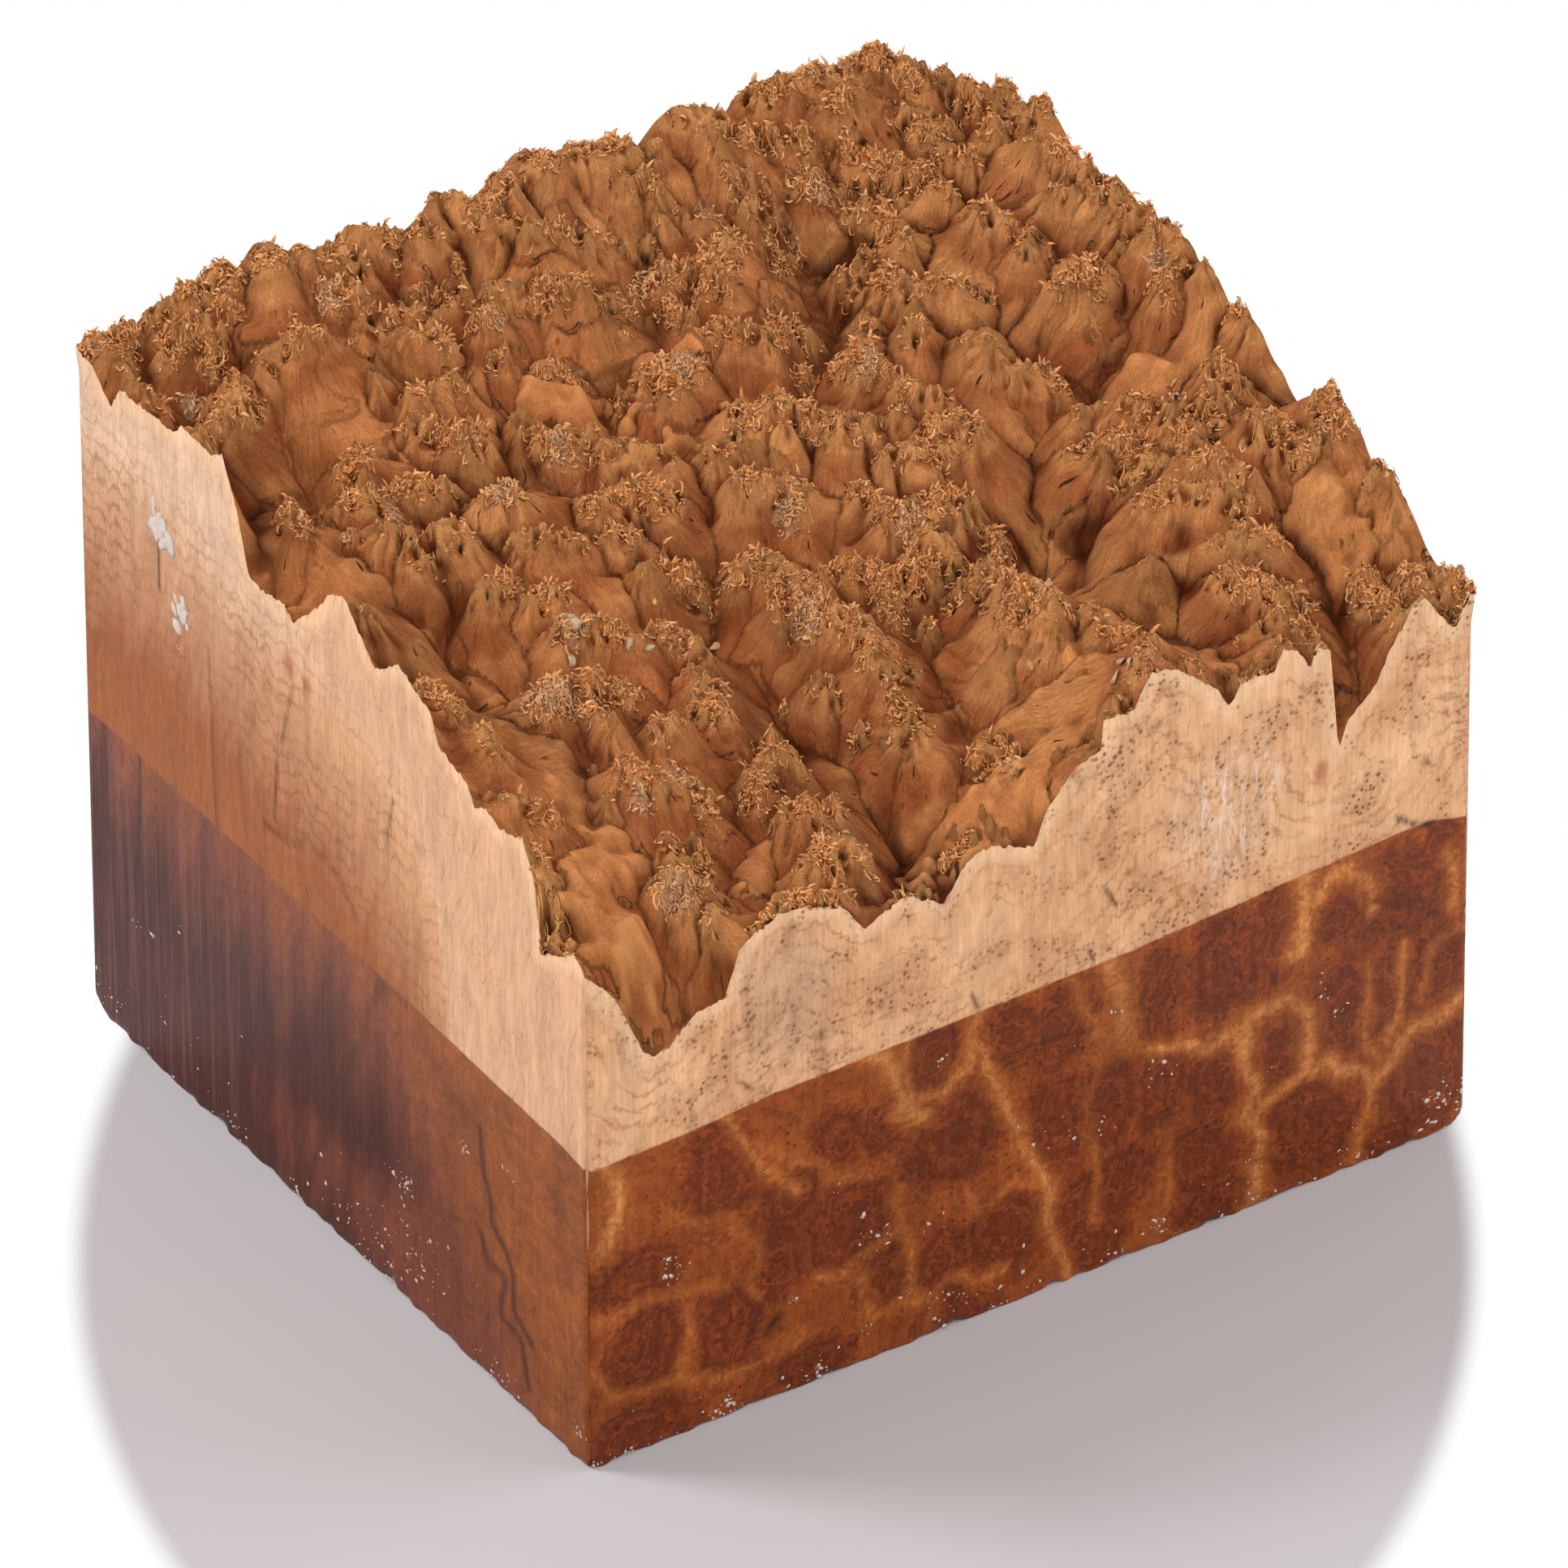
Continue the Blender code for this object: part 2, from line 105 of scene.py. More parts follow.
# Layers of wandering noise, each with its strength, size and seed: what bends the crest lines, makes their
# flanks uneven, waves the bottoms, frays the rims of crests and of the block's lip, and splits the creases
BEND_X = ((1.6, 7, 1), (0.7, 3, 2))
BEND_Y = ((1.6, 7, 3), (0.7, 3, 4))
UNEVEN_FALL = ((0.22, 5, 6), (0.12, 2.2, 7))
FLOOR_WAVES = ((1.5, 12, 9),)
RAGGED_CRESTS = ((2.0, 6.5, 11), (1.0, 2.4, 12))
RAGGED_LIP = ((0.45, 1.4, 19),)
SPLITS = ((1.0, 9, 17), (0.6, 2.5, 18))

# Flutes down the flanks: height everywhere, and what is added most at a distance from the crest line; sizes
# of the flutes and of the fibres on them, and the fibres' share
FLUTE_LEAST = 0.3
FLUTE_MOST = 0.75
FLUTE_PLACE = 2.4
FLUTE_SIZE = 2.3
FIBRE_SIZE = 0.7
FIBRE_SHARE = 0.35

# Crumbs of the frayed crests, the slits along the creases, and how far the gap beside a crease is measured
CRUMB_HEIGHT = 0.95
COARSE_CRUMB = 1.9
FINE_CRUMB = 1.1
FINE_SHARE = 0.7
SLIT_DEPTH = 0.8
SLIT_WIDTH = 0.45
CREASE_REACH = 9
LEAST_SLOPE = 0.6

# A number of millimetres beyond anything on the block, and the nearest that a distance is divided by
BEYOND = 1e6
NEAREST = 0.05

# How far from the two front faces the top runs out into their outlines
OUTLINE_REACH = 8.0

# Small tufts strewn along the crest lines: how many, how far off, how high beside the crest and how wide
TUFT_SEED = 5
TUFTS_EACH = 3
TUFT_SPACING = 3.0
TUFT_SPREAD = 1.3
TUFT_CROWDING = 0.7
TUFT_DROP = 0.9
TUFT_RISE = (-0.5, 1.6)
TUFT_GIRTH = (1.2, 2.2)
TUFT_FALL = 2.6
CONE_REACH = 9.0

# Thorns of the frayed crests: how many, how far off, how high and how wide, and the border that stays free
THORN_SEED = 8
THORNS_EACH = 5
THORN_SPACING = 1.1
THORN_GAP = 0.3
THORN_LOW = 0.6
THORN_HIGH = 1.6
THORN_GIRTH = (0.45, 0.9)
THORN_FALL = 3.0
THORN_BORDER = 1

# Pits of the frayed parts: radius, depth for each millimetre of it, and the part of the grid that one changes
PIT_SEED = 9
PIT_COUNT = 420
PIT_RADIUS = (0.35, 0.75)
PIT_DEPTH = 1.95
PIT_REACH = 3

# The highest crests are squeezed into the last millimetres under the solid's top, less a little room
SQUEEZE_HEIGHT = 4.0
SQUEEZE_ROOM = 0.9

# Groups of loose fibres: name, seed, share of the fibre length, and how far their tips stand up
FIBRE_GROUPS = (("frayed_fibres_low", 51, 0.8, 0.25), ("frayed_fibres_high", 52, 1.0, 0.9))

# Shares of loose fibres on weathered places, and of those that stand away from the crests
WEATHERED_SHARE = 0.9
STRAY_SHARE = 0.15

# Fibres are counted off on a circle of this radius round the nearest point of their crest
FLOW_RADIUS = 5.0

# The grain of the left face leans by this much from upright
GRAIN_TILT = math.radians(-22)

# Growth lines of the left face: radians for each metre of height
GROWTH_LINES = 1900.0

# The dressed walls stand this far inside the solid's, which leaves room for the wax flecks
WALL_INSET = 0.25
BOX_MARGIN = 0.02

# Levels of the sides: rings above and below the place of the wax line, and the height where they change
RAW_LEVELS = 40
WAXED_LEVELS = 60
LEVEL_CHANGE = 58.5

# The crown sits in the sides as in a thin tray: how far in their hidden walls are, how far under the lip
# those start, and the height at which the crown ends
CROWN_INSET = 0.75
TRAY_INSET = 0.6
CROWN_TUCK = 4.0
TRAY_TUCK = 4.5
CROWN_FOOT = 40.0
TRAY_FLOOR = 39.5

# Outline of the burl on the left face: distance from the front corner, height
LEFT_OUTLINE = (
    (0, 92), (3, 93), (8, 91), (12, 89), (13, 100), (17, 107), (23, 105), (27, 106.5), (30, 104.5),
    (32, 108), (40, 110), (42, 115), (51, 118.5), (57.5, 113.6), (60, 116), (66, 122), (70, 120),
    (73, 116), (80.4, 108.6), (83, 110.6), (90, 109.3), (93, 110), (96, 120), (100, 128), (103, 126),
    (111, 126.7), (114, 124), (129, 123), (132, 118.3), (137, 123), (142, 124),
)

# Outline of the burl on the front face: distance from the same corner, height
FRONT_OUTLINE = (
    (0, 92), (6.5, 83.6), (10.4, 74), (12, 72.5), (15, 73), (20, 77.4), (25, 78.2), (27.7, 86.3),
    (34, 89.6), (37, 89.6), (46, 86.5), (49.7, 80.9), (57, 84), (63.8, 80), (68.3, 86), (72.3, 87),
    (80, 83.8), (82, 88.9), (87, 95.3), (92, 97), (92.5, 102), (98, 102), (101, 107.5), (105, 106.7),
    (113, 100), (115.2, 95.6), (117.5, 99.4), (123.5, 99.2), (125, 102.6), (127.4, 101.3), (129.9, 97),
    (131, 100.5), (133.6, 99), (135.2, 80), (137, 85), (142, 89.4), (144.4, 94.6), (149, 102),
    (151, 101.5), (156.2, 94.2), (158.7, 99.3), (160, 98.7),
)

# Crest lines: rise above the lie, breadth of the steep part of the flank, then the points of the line
BACK_LEFT_CRESTS = (
    (2, 5, (0, 140), (10, 141)), (3, 4, (14, 141), (17, 141)), (5, 4, (19, 141), (24, 140)),
    (6, 5, (33, 141), (31, 136)), (5, 3, (37, 138)), (4, 5, (14, 136), (22, 135)),
    (0, 3, (5, 134), (4, 128)), (3, 5, (16, 123), (10, 116), (3, 109)), (2, 3, (21, 122)),
    (5, 4, (26, 124), (31, 122)), (4, 5, (40, 136), (46, 133)), (2, 4, (38, 131), (43, 129)),
    (2, 4, (40, 125), (48, 123)), (5, 4, (50, 138), (53, 137)), (4, 4, (56, 137), (59, 135)),
    (4, 3, (63, 138)), (4, 3, (66, 137), (68, 134)), (6, 3, (74, 136)), (3, 4, (68, 133), (73, 131)),
    (4, 5, (57, 125)), (1, 4, (38, 124), (49, 119)), (2, 4, (36, 116)), (3, 5, (40, 110), (48, 109)),
    (3, 4, (57, 118), (60, 118)), (2, 4, (59, 113)), (4, 5, (62, 121), (75, 119)),
    (2, 6, (65, 111), (68, 111)),
)
BACK_CRESTS = (
    (7, 4, (81, 138)), (7, 5, (86, 137), (94, 135)), (5, 4, (91, 130)), (4, 4, (72, 128), (78, 126)),
    (3, 4, (83, 125), (79, 123)), (5, 3, (99, 133)), (5, 4, (94, 129), (96, 127)), (4, 4, (94, 123)),
    (6, 4, (107, 136), (111, 135)), (6, 4, (108, 132)), (6, 3, (113, 131)), (4, 4, (98, 123), (101, 122)),
    (2, 3, (91, 121)), (2, 5, (79, 117), (82, 116)), (3, 4, (86, 117), (92, 116)),
    (3, 4, (89, 108), (88, 112)), (6, 4, (121, 137), (129, 135), (135, 132)),
    (6, 5, (128, 131), (130, 129)), (5, 5, (116, 131), (123, 128)), (6, 4, (134, 137), (138, 137)),
    (8, 5, (140, 137), (145, 134)), (6, 3, (150, 133)), (6, 4, (151, 130), (154, 127)), (5, 3, (158, 126)),
    (4, 4, (140, 128), (142, 127)), (4, 4, (143, 123)), (3, 4, (131, 125), (124, 121)), (2, 4, (124, 125)),
    (3, 4, (108, 128), (112, 125)), (3, 4, (107, 122), (110, 122)), (3, 4, (118, 124), (121, 123)),
    (4, 5, (103, 117), (95, 114)), (2, 4, (111, 119), (109, 113)), (4, 5, (92, 103), (98, 101), (102, 103)),
    (0, 4, (106, 110)),
)
BACK_RIGHT_CRESTS = (
    (6, 5, (155, 118), (159, 116)), (5, 4, (150, 118)), (4, 5, (132, 119), (133, 116)),
    (3, 4, (141, 118), (144, 115)), (2, 5, (124, 117), (128, 115)), (1, 5, (122, 111), (115, 107)),
    (4, 5, (127, 110), (128, 105)), (3, 4, (133, 114), (137, 110)), (5, 4, (138, 102), (139, 99)),
    (6, 5, (151, 110), (153, 104), (155, 97)), (4, 4, (149, 100), (155, 92)), (3, 4, (155, 88), (158, 87)),
    (4, 5, (141, 92)), (1, 4, (152, 85)), (4, 5, (156, 81), (160, 79)), (4, 3, (159, 73)),
    (3, 6, (146, 84), (140, 83)), (2, 4, (157, 77), (152, 74)), (3, 4, (160, 63), (160, 60)),
    (3, 5, (120, 102), (123, 97), (128, 92)), (1, 4, (113, 97)), (2, 4, (118, 89)),
    (3, 6, (110, 92), (108, 87)),
)
MIDDLE_CRESTS = (
    (3, 5, (126, 82), (125, 78)), (1, 4, (125, 75), (132, 71)), (4, 6, (77, 102), (83, 100)),
    (1, 4, (72, 102)), (2, 5, (56, 97), (60, 93)), (2, 3, (54, 100)), (2, 5, (37, 107), (45, 100)),
    (1, 4, (25, 103), (29, 106)), (1, 4, (18, 95), (22, 95)), (1, 4, (26, 95), (35, 93)),
    (3, 5, (39, 86), (43, 85)), (2, 5, (62, 89), (68, 86)), (4, 6, (85, 88), (90, 84)),
    (2, 4, (93, 81), (95, 79)), (3, 5, (96, 77), (99, 75)), (2, 4, (104, 75)), (3, 5, (107, 70), (112, 66)),
    (2, 4, (109, 79), (112, 76)), (2, 5, (101, 68), (104, 67)), (2, 5, (101, 60), (105, 56)),
    (2, 6, (94, 61), (97, 60), (100, 50)), (3, 6, (77, 75), (85, 71)), (1, 4, (92, 67), (94, 63)),
    (1, 4, (76, 83), (81, 84)),
)
RIGHT_CRESTS = (
    (1, 4, (130, 63), (133, 63)), (3, 5, (135, 60), (137, 58)), (2, 5, (127, 56), (134, 54)),
    (3, 5, (140, 54), (141, 47)), (2, 4, (130, 50), (134, 47)), (2, 5, (151, 57), (151, 53)),
    (2, 4, (146, 51), (146, 47)), (3, 5, (149, 40), (151, 37)), (5, 4, (158, 38), (158, 34)),
    (2, 4, (156, 33), (152, 34)), (4, 6, (136, 41), (138, 38)), (3, 5, (128, 38), (135, 32)),
    (2, 5, (133, 26), (138, 23)), (4, 6, (158, 25), (160, 23), (159, 20)), (0, 5, (149, 13), (148, 8)),
    (2, 5, (155, 8), (160, 5)),
)
LOWER_LEFT_CRESTS = (
    (3, 6, (23, 82), (31, 82)), (1, 4, (20, 86)), (2, 5, (41, 78), (45, 76)), (1, 5, (55, 81), (64, 81)),
    (0, 4, (52, 76), (57, 74)), (0, 5, (55, 69), (61, 68)), (2, 5, (29, 72), (32, 72)),
    (2, 5, (33, 68), (37, 67)), (3, 6, (35, 60), (42, 56)), (1, 5, (49, 56), (54, 52)),
    (2, 6, (22, 48), (34, 49)), (0, 4, (38, 48)), (-1, 4, (9, 72)), (1, 3, (9, 94)),
    (0, 4, (9, 54), (9, 49)), (0, 4, (9, 42), (8, 37)), (0, 4, (29, 44), (30, 38)),
    (1, 5, (39, 36), (42, 37)), (0, 4, (48, 38), (51, 46)), (2, 5, (26, 30), (30, 28)), (0, 5, (36, 25)),
    (-1, 4, (22, 27)), (0, 5, (5, 29), (11, 27)), (0, 4, (5, 22), (5, 18)), (1, 5, (27, 19), (32, 17)),
    (4, 7, (24, 12), (26, 8)), (0, 5, (2, 13), (0, 4)),
)
LOWER_MIDDLE_CRESTS = (
    (3, 6, (69, 63), (74, 60), (73, 50), (78, 43), (77, 35), (75, 27)), (2, 5, (83, 55), (88, 51)),
    (2, 5, (93, 52), (94, 49)), (1, 4, (86, 46)), (2, 5, (101, 48), (100, 42)),
    (5, 8, (100, 34), (101, 26)), (3, 5, (106, 22), (107, 15)), (0, 6, (95, 27), (98, 23)),
    (0, 5, (99, 17), (102, 11)), (-1, 2, (120, 30)), (2, 5, (129, 19), (135, 14)),
    (0, 4, (128, 9), (134, 8)), (1, 6, (82, 11), (83, 17)), (-2, 5, (68, 39)), (0, 6, (48, 18), (53, 18)),
    (1, 6, (52, 9), (45, 8)), (0, 5, (54, 31), (48, 27)),
)
LIP_CRESTS = (
    (1, 5, (32, 2), (46, 2)), (-4, 4, (54, 1), (60, 1)), (-2, 5, (66, 2), (76, 2)),
    (3, 4, (88, 3), (95, 5)), (8, 4, (93, 1), (98, 1)), (9, 4, (101, 2), (106, 7)),
    (4, 4, (109, 4), (111, 1)), (-1, 5, (117, 1), (123, 1)), (1, 3, (125, 2)), (-1, 3, (131, 2)),
    (2, 4, (147, 2), (152, 1)), (1, 3, (159, 1)),
)
CREST_LINES = (BACK_LEFT_CRESTS + BACK_CRESTS + BACK_RIGHT_CRESTS + MIDDLE_CRESTS + RIGHT_CRESTS
               + LOWER_LEFT_CRESTS + LOWER_MIDDLE_CRESTS + LIP_CRESTS)

# Clefts: depth, breadth, then the points of the line
CLEFTS = (
    (13, 5, (118, 119), (113, 112), (109, 105), (103, 97)),
    (8, 5, (64, 63), (60, 44), (56, 29)),
    (7, 5, (107, 50), (90, 40), (77, 30), (65, 18), (62, 9)),
    (8, 4, (86, 115), (73, 107), (70, 114)),
    (8, 5, (136, 72), (140, 74)),
    (9, 6, (13, 107), (1, 83)),
    (8, 4, (11, 131), (14, 132)),
    (9, 4, (135, 0), (137, 5), (142, 19)),
    (8, 4, (12, 0), (22, 6), (35, 16), (43, 26)),
    (6, 4, (16, 53), (22, 68), (25, 78)),
    (5, 3, (114, 41), (121, 46), (133, 51)),
    (7, 4, (53, 128), (55, 135)),
)

# Burl eyes on the front face: middle (distance from the front corner, height), half width, half height
FRONT_EYES = (
    (62, 52, 5, 6), (11, 19, 6.5, 7), (25, 16, 5.5, 8), (46, 27, 7.5, 7), (53, 15, 4, 6), (66, 36, 8, 8),
    (64, 13, 5, 6), (76, 50, 5, 6), (54, 43, 4.5, 5), (45, 44, 4, 5), (24, 46, 6, 9), (36, 36, 5, 5),
    (34, 25, 5, 6), (9, 33, 7, 5), (10, 3, 9, 6), (76, 14, 6, 7), (66, 3, 6, 4), (84, 47, 5, 6),
    (88, 53, 5, 4), (103, 46, 3.5, 9), (115, 48, 6, 9), (125, 50, 5, 8), (134, 49, 5, 5), (148, 48, 8, 8),
    (155, 55, 3, 3), (125, 29, 5, 8), (136, 30, 6, 9), (144, 31, 3.5, 7), (154, 31, 5.5, 8),
    (132, 12, 10, 9), (153, 13, 9, 9), (113, 28, 5, 7), (103, 30, 4.5, 8.5), (94, 31, 5, 8),
    (84, 31, 4.5, 9), (97, 15, 5, 6), (87, 13, 5, 6), (110, 14, 6, 6), (113, 4, 6, 4), (91, 5, 6, 4),
    (40, 4, 7, 4), (145, 3, 5, 3),
)

# Honey-coloured net between the eyes of the front face: half width, strength, then the points of the line
FRONT_NET = (
    (1.7, 1.0, (3, 58), (5, 51), (5, 45), (4, 41)), (1.0, 0.6, (24, 58), (28, 51), (32, 44), (37, 37)),
    (0.9, 0.45, (31, 48), (38, 43), (46, 36), (50, 34)),
    (1.4, 1.0, (51, 58), (54, 53), (55, 48), (59, 43), (61, 41)),
    (1.0, 0.8, (57, 57), (56, 51), (59, 45), (65, 44), (69, 49), (70, 57)),
    (1.0, 0.8, (71, 50), (73, 42), (76, 34), (80, 26), (83, 18), (84, 8), (86, 0)),
    (0.9, 0.5, (87, 57), (88, 51), (91, 45), (95, 43)), (2.0, 0.9, (94, 58), (96, 50), (96, 43)),
    (0.9, 0.5, (97, 40), (103, 38)),
    (1.2, 0.9, (103, 38), (108, 36), (112, 34), (118, 34), (122, 36), (127, 37), (130, 33), (130, 24)),
    (1.3, 0.9, (118, 34), (119, 28), (120, 20), (121, 10), (121, 0)),
    (1.1, 0.9, (120, 17), (124, 20), (129, 22), (134, 22), (139, 18), (142, 15)),
    (1.3, 0.9, (142, 14), (145, 17), (149, 21), (154, 23), (160, 25)),
    (0.9, 0.6, (142, 15), (142, 8), (139, 3), (139, 0)), (0.9, 0.7, (148, 39), (148, 30), (146, 22)),
    (0.8, 0.6, (141, 37), (141, 28), (143, 20)), (1.4, 0.9, (129, 58), (129, 52), (128, 45)),
    (1.2, 0.9, (131, 53), (134, 57), (138, 57), (141, 52), (142, 48)),
    (1.1, 0.8, (157, 53), (158, 47), (157, 41)), (0.8, 0.5, (152, 27), (154, 36), (160, 38)),
    (0.8, 0.6, (0, 19), (5, 13), (11, 11), (17, 11), (24, 8), (32, 9), (40, 10)),
    (0.8, 0.5, (18, 26), (18, 19), (17, 12)), (0.8, 0.5, (0, 27), (6, 27), (12, 27), (19, 26), (24, 25)),
    (0.9, 0.6, (42, 20), (46, 19), (51, 21), (56, 23), (56, 30)),
    (0.9, 0.6, (48, 17), (52, 8), (60, 8), (68, 9), (74, 7)), (0.9, 0.6, (57, 22), (58, 14), (57, 8)),
    (0.8, 0.5, (68, 26), (71, 19), (76, 22), (82, 20)), (0.8, 0.4, (62, 7), (61, 0)),
    (0.8, 0.4, (104, 22), (104, 10), (103, 0)), (0.8, 0.4, (92, 40), (90, 26), (92, 18), (92, 9)),
    (0.7, 0.4, (15, 41), (24, 37), (30, 32), (30, 20)),
)

# Dark gum veins and cracks: half width, strength, then the points of the line
FRONT_MARKS = (
    (0.35, 0.9, (93, 71), (95, 67)), (0.3, 0.8, (90, 61), (91, 58)), (0.35, 0.9, (69, 61), (70, 58)),
    (0.3, 0.7, (27, 62), (30, 59)), (0.4, 0.9, (146, 63), (150, 60), (154, 59)),
    (0.5, 0.7, (151, 72), (152, 71)), (0.5, 0.7, (102, 98), (103, 98)), (0.5, 0.6, (42, 65), (42, 64)),
    (1.1, 0.8, (32, 13), (34, 15)), (0.8, 0.35, (142, 49), (150, 45), (156, 40)),
    (0.5, 0.45, (33, 54), (38, 50)), (0.6, 0.4, (82, 47), (90, 46)),
)
LEFT_MARKS = (
    (0.6, 0.4, (64, 64), (68, 68), (72, 70), (78, 70), (82, 67), (90, 66)),
    (0.35, 0.8, (119, 101), (119, 92)), (0.3, 0.7, (81, 96), (83, 90), (84.5, 84)),
    (0.3, 0.8, (86, 80), (87, 68)), (0.35, 0.9, (126, 57), (126.5, 46), (128, 33)),
    (0.3, 0.7, (53, 92), (55, 83)), (0.3, 0.5, (105, 88), (104, 57)),
)

LEFT_VEINS = (
    (0.8, 0.9, (30, 46), (29, 38), (27, 34), (27, 30), (23, 27), (21, 24), (21, 17), (16, 14)),
    (0.7, 0.9, (30, 26), (28, 22), (23, 22), (24, 18), (25, 14), (19, 13), (17, 5)),
    (1.5, 0.6, (57, 56), (61, 48), (63, 41), (67, 35), (71, 27), (75, 15), (80, 4)),
    (3.0, 0.45, (34, 46), (42, 49)), (2.0, 0.4, (8, 44), (10, 46)),
)

# Frosted and mouldy places of the front face: middle, height, half width, half height, strength
FROST_SPOTS = ((114, 75, 7, 11, 0.75), (122, 80, 4, 7, 0.5), (108, 78, 4, 8, 0.4))
MOULD_SPOTS = ((26, 86, 1.5, 4.5, 0.7), (36, 74, 9, 12, 0.28), (8, 70, 3, 10, 0.15))

# Reddish stains of each face: distance from the front corner, height, radius
RED_STAINS = {
    "front": ((64, 81, 1.0), (87, 95, 1.0), (132, 77, 1.3), (155, 79, 0.6)),
    "left": ((82, 100, 1.5), (77, 99, 1.2)),
}

# Height under which the left face turns tan, and under which it is dark heartwood, along from the corner
TAN_LINE = ((0, 20), (36, 40), (41, 70), (48, 80), (60, 88), (75, 92), (100, 99), (120, 103), (142, 101))
HEART_LINE = ((0, -20), (15, -12), (28, 4), (40, 18), (50, 28), (58, 36), (66, 42), (76, 46), (95, 42),
              (112, 47), (142, 51))
RED_LINE = ((0, -10), (10, 0), (25, 16), (40, 33), (50, 44), (58, 54), (70, 62), (142, 64))

# The wax line: distance from the front corner, height
FRONT_WAX_LINE = ((0, 55.7), (18, 55.8), (33, 57), (49, 57), (98, 57.5), (147, 60), (152, 60), (160, 58))
LEFT_WAX_LINE = ((0, 55.8), (6, 56.6), (50, 57.3), (142, 56.8))

# Where white wax has scuffed onto each face: distance from the front corner, height, spread, flecks
WAX_CLUSTERS = {
    "front": ((15, 32, 2.2, 22), (50, 28, 0.6, 5), (52, 23, 2.2, 14), (62, 20, 1.2, 6), (37, 17, 0.9, 7),
        (63, 51, 1.0, 6), (45, 34, 0.6, 3), (85, 29, 3, 10), (103, 33, 2.5, 10), (124, 25, 0.5, 4),
        (136, 31, 0.8, 5), (133, 36, 2, 5), (24, 2.5, 2.5, 26), (41, 2, 2.5, 22), (49, 6, 0.8, 5),
        (65, 5, 2.5, 18), (103, 4, 1.4, 16), (92, 3, 3, 10), (77, 2, 5, 14), (156, 6, 3, 46),
        (95, 47, 0.7, 3), (93, 26, 1.5, 5), (7, 2, 4, 16), (118, 1.5, 6, 16), (139, 1.5, 6, 20),
        (89, 44, 0.6, 2), (77, 33, 0.5, 2), (57, 10, 1, 4)),
    "left": ((52, 22, 2.4, 26), (34.5, 39, 1.1, 9), (50, 8, 6, 44), (25, 1.5, 3, 18), (3, 6, 1.5, 12),
        (83, 1.5, 1.1, 8), (101, 3, 1.5, 10), (68, 7, 3, 14), (136, 5, 3, 14), (22, 43, 1.0, 4),
        (124, 23, 3, 8), (60, 2, 10, 24), (115, 1.5, 12, 16), (115, 32, 1.5, 3), (48, 14, 6, 16),
        (44, 83, 0.5, 2), (115, 84, 1.2, 3), (126, 85, 0.6, 2)),
}

# What the sawn wood's material reads where nothing of a face sets it
PLAIN_WALL = {"honey_net": 0, "mark": 0, "vein": 0, "mould": 0, "frost": 0, "stain": 0, "stripes": 0,
              "left_face": 0, "warmth": 0, "eye": 1.2, "below_outline": 30, "tan_depth": -60,
              "heart_depth": -60, "red_depth": -60}

# Bends of the eyes and the net, how much wider the net is drawn than its lines, and the stains' shape
BEND_ACROSS = ((1.3, 5, 33),)
BEND_UP = ((1.3, 5, 34),)
NET_WIDENING = 1.45
STAIN_TALL = 1.6
STAIN_STRENGTH = 0.7

# Milky wax patches high on the left face: distance from the front corner, height, half width, half height
WAX_PATCHES = ((118.7, 104.5, 3.1, 4.6), (112.7, 91, 2.4, 3.6))

# Weathered places on the burl, gone grey: x, y, radius
GREY_PLACES = (
    (82, 100, 2.4), (56, 93, 1.8), (41, 86, 2.6), (16, 90, 1.4), (25, 91, 1.6), (107, 86, 1.8),
    (81, 69, 2.4), (23, 11, 2.6), (24, 47, 3.6), (37, 31, 2.2), (27, 26, 1.8), (96, 58, 2.2), (72, 49, 2.6),
    (102, 31, 1.8), (81, 8, 1.6), (131, 139, 3.6), (38, 130, 2.0), (12, 128, 2.0), (150, 134, 2.0),
    (60, 118, 1.6), (36, 59, 2.2), (120, 120, 1.6), (144, 58, 1.6), (155, 79, 1.8), (140, 103, 1.5),
    (88, 118, 1.8),
)

# Bits of bark and crust that stay on the burl: x, y, length, breadth, turn in degrees, kind
BARK_BITS = (
    (61, 58, 2.6, 1.4, 20, "straw"), (43, 54, 2.4, 1.3, 70, "pale"), (46, 53, 2.2, 1.4, 30, "pale"),
    (102, 10, 5.0, 1.6, 35, "grey"), (99, 7, 4.0, 2.8, 60, "pale"), (101, 6, 2.6, 2.0, 10, "pale"),
    (36, 59, 3.6, 2.8, 100, "pale"), (34, 56, 2.8, 2.2, 40, "pale"), (94, 22, 1.8, 1.2, 80, "straw"),
    (82, 100, 2.0, 1.4, 20, "grey"), (70, 47, 2.0, 1.0, 15, "straw"), (54, 64, 1.8, 1.0, 50, "straw"),
)


def wander(x, y, size, seed):
    """Smooth seeded noise between -1 and 1: random values on a square lattice, eased between its points."""
    count = 64
    lattice = np.random.default_rng(seed).uniform(-1, 1, (count, count))
    u = (x + 160.0) / size
    v = (y + 142.0) / size
    column = np.floor(u).astype(int)
    row = np.floor(v).astype(int)
    s = u - column
    t = v - row
    s = s * s * (3 - 2 * s)
    t = t * t * (3 - 2 * t)
    near = lattice[column % count, row % count] * (1 - s) + lattice[(column + 1) % count, row % count] * s
    far = (lattice[column % count, (row + 1) % count] * (1 - s)
           + lattice[(column + 1) % count, (row + 1) % count] * s)
    return near * (1 - t) + far * t


def layered(x, y, layers):
    """Sum of wandering layers, each with its strength, size and seed."""
    return sum(strength * wander(x, y, size, seed) for strength, size, seed in layers)


def ridged(x, y, size, seed):
    """Noise with sharp ridges: 1 where the wandering noise passes through 0, and -1 at its ends."""
    return 1 - 2 * np.abs(wander(x, y, size, seed))


def ease(value, low, high):
    """0 below the low value, 1 above the high one, eased between them."""
    share = np.clip((value - low) / (high - low), 0, 1)
    return share * share * (3 - 2 * share)


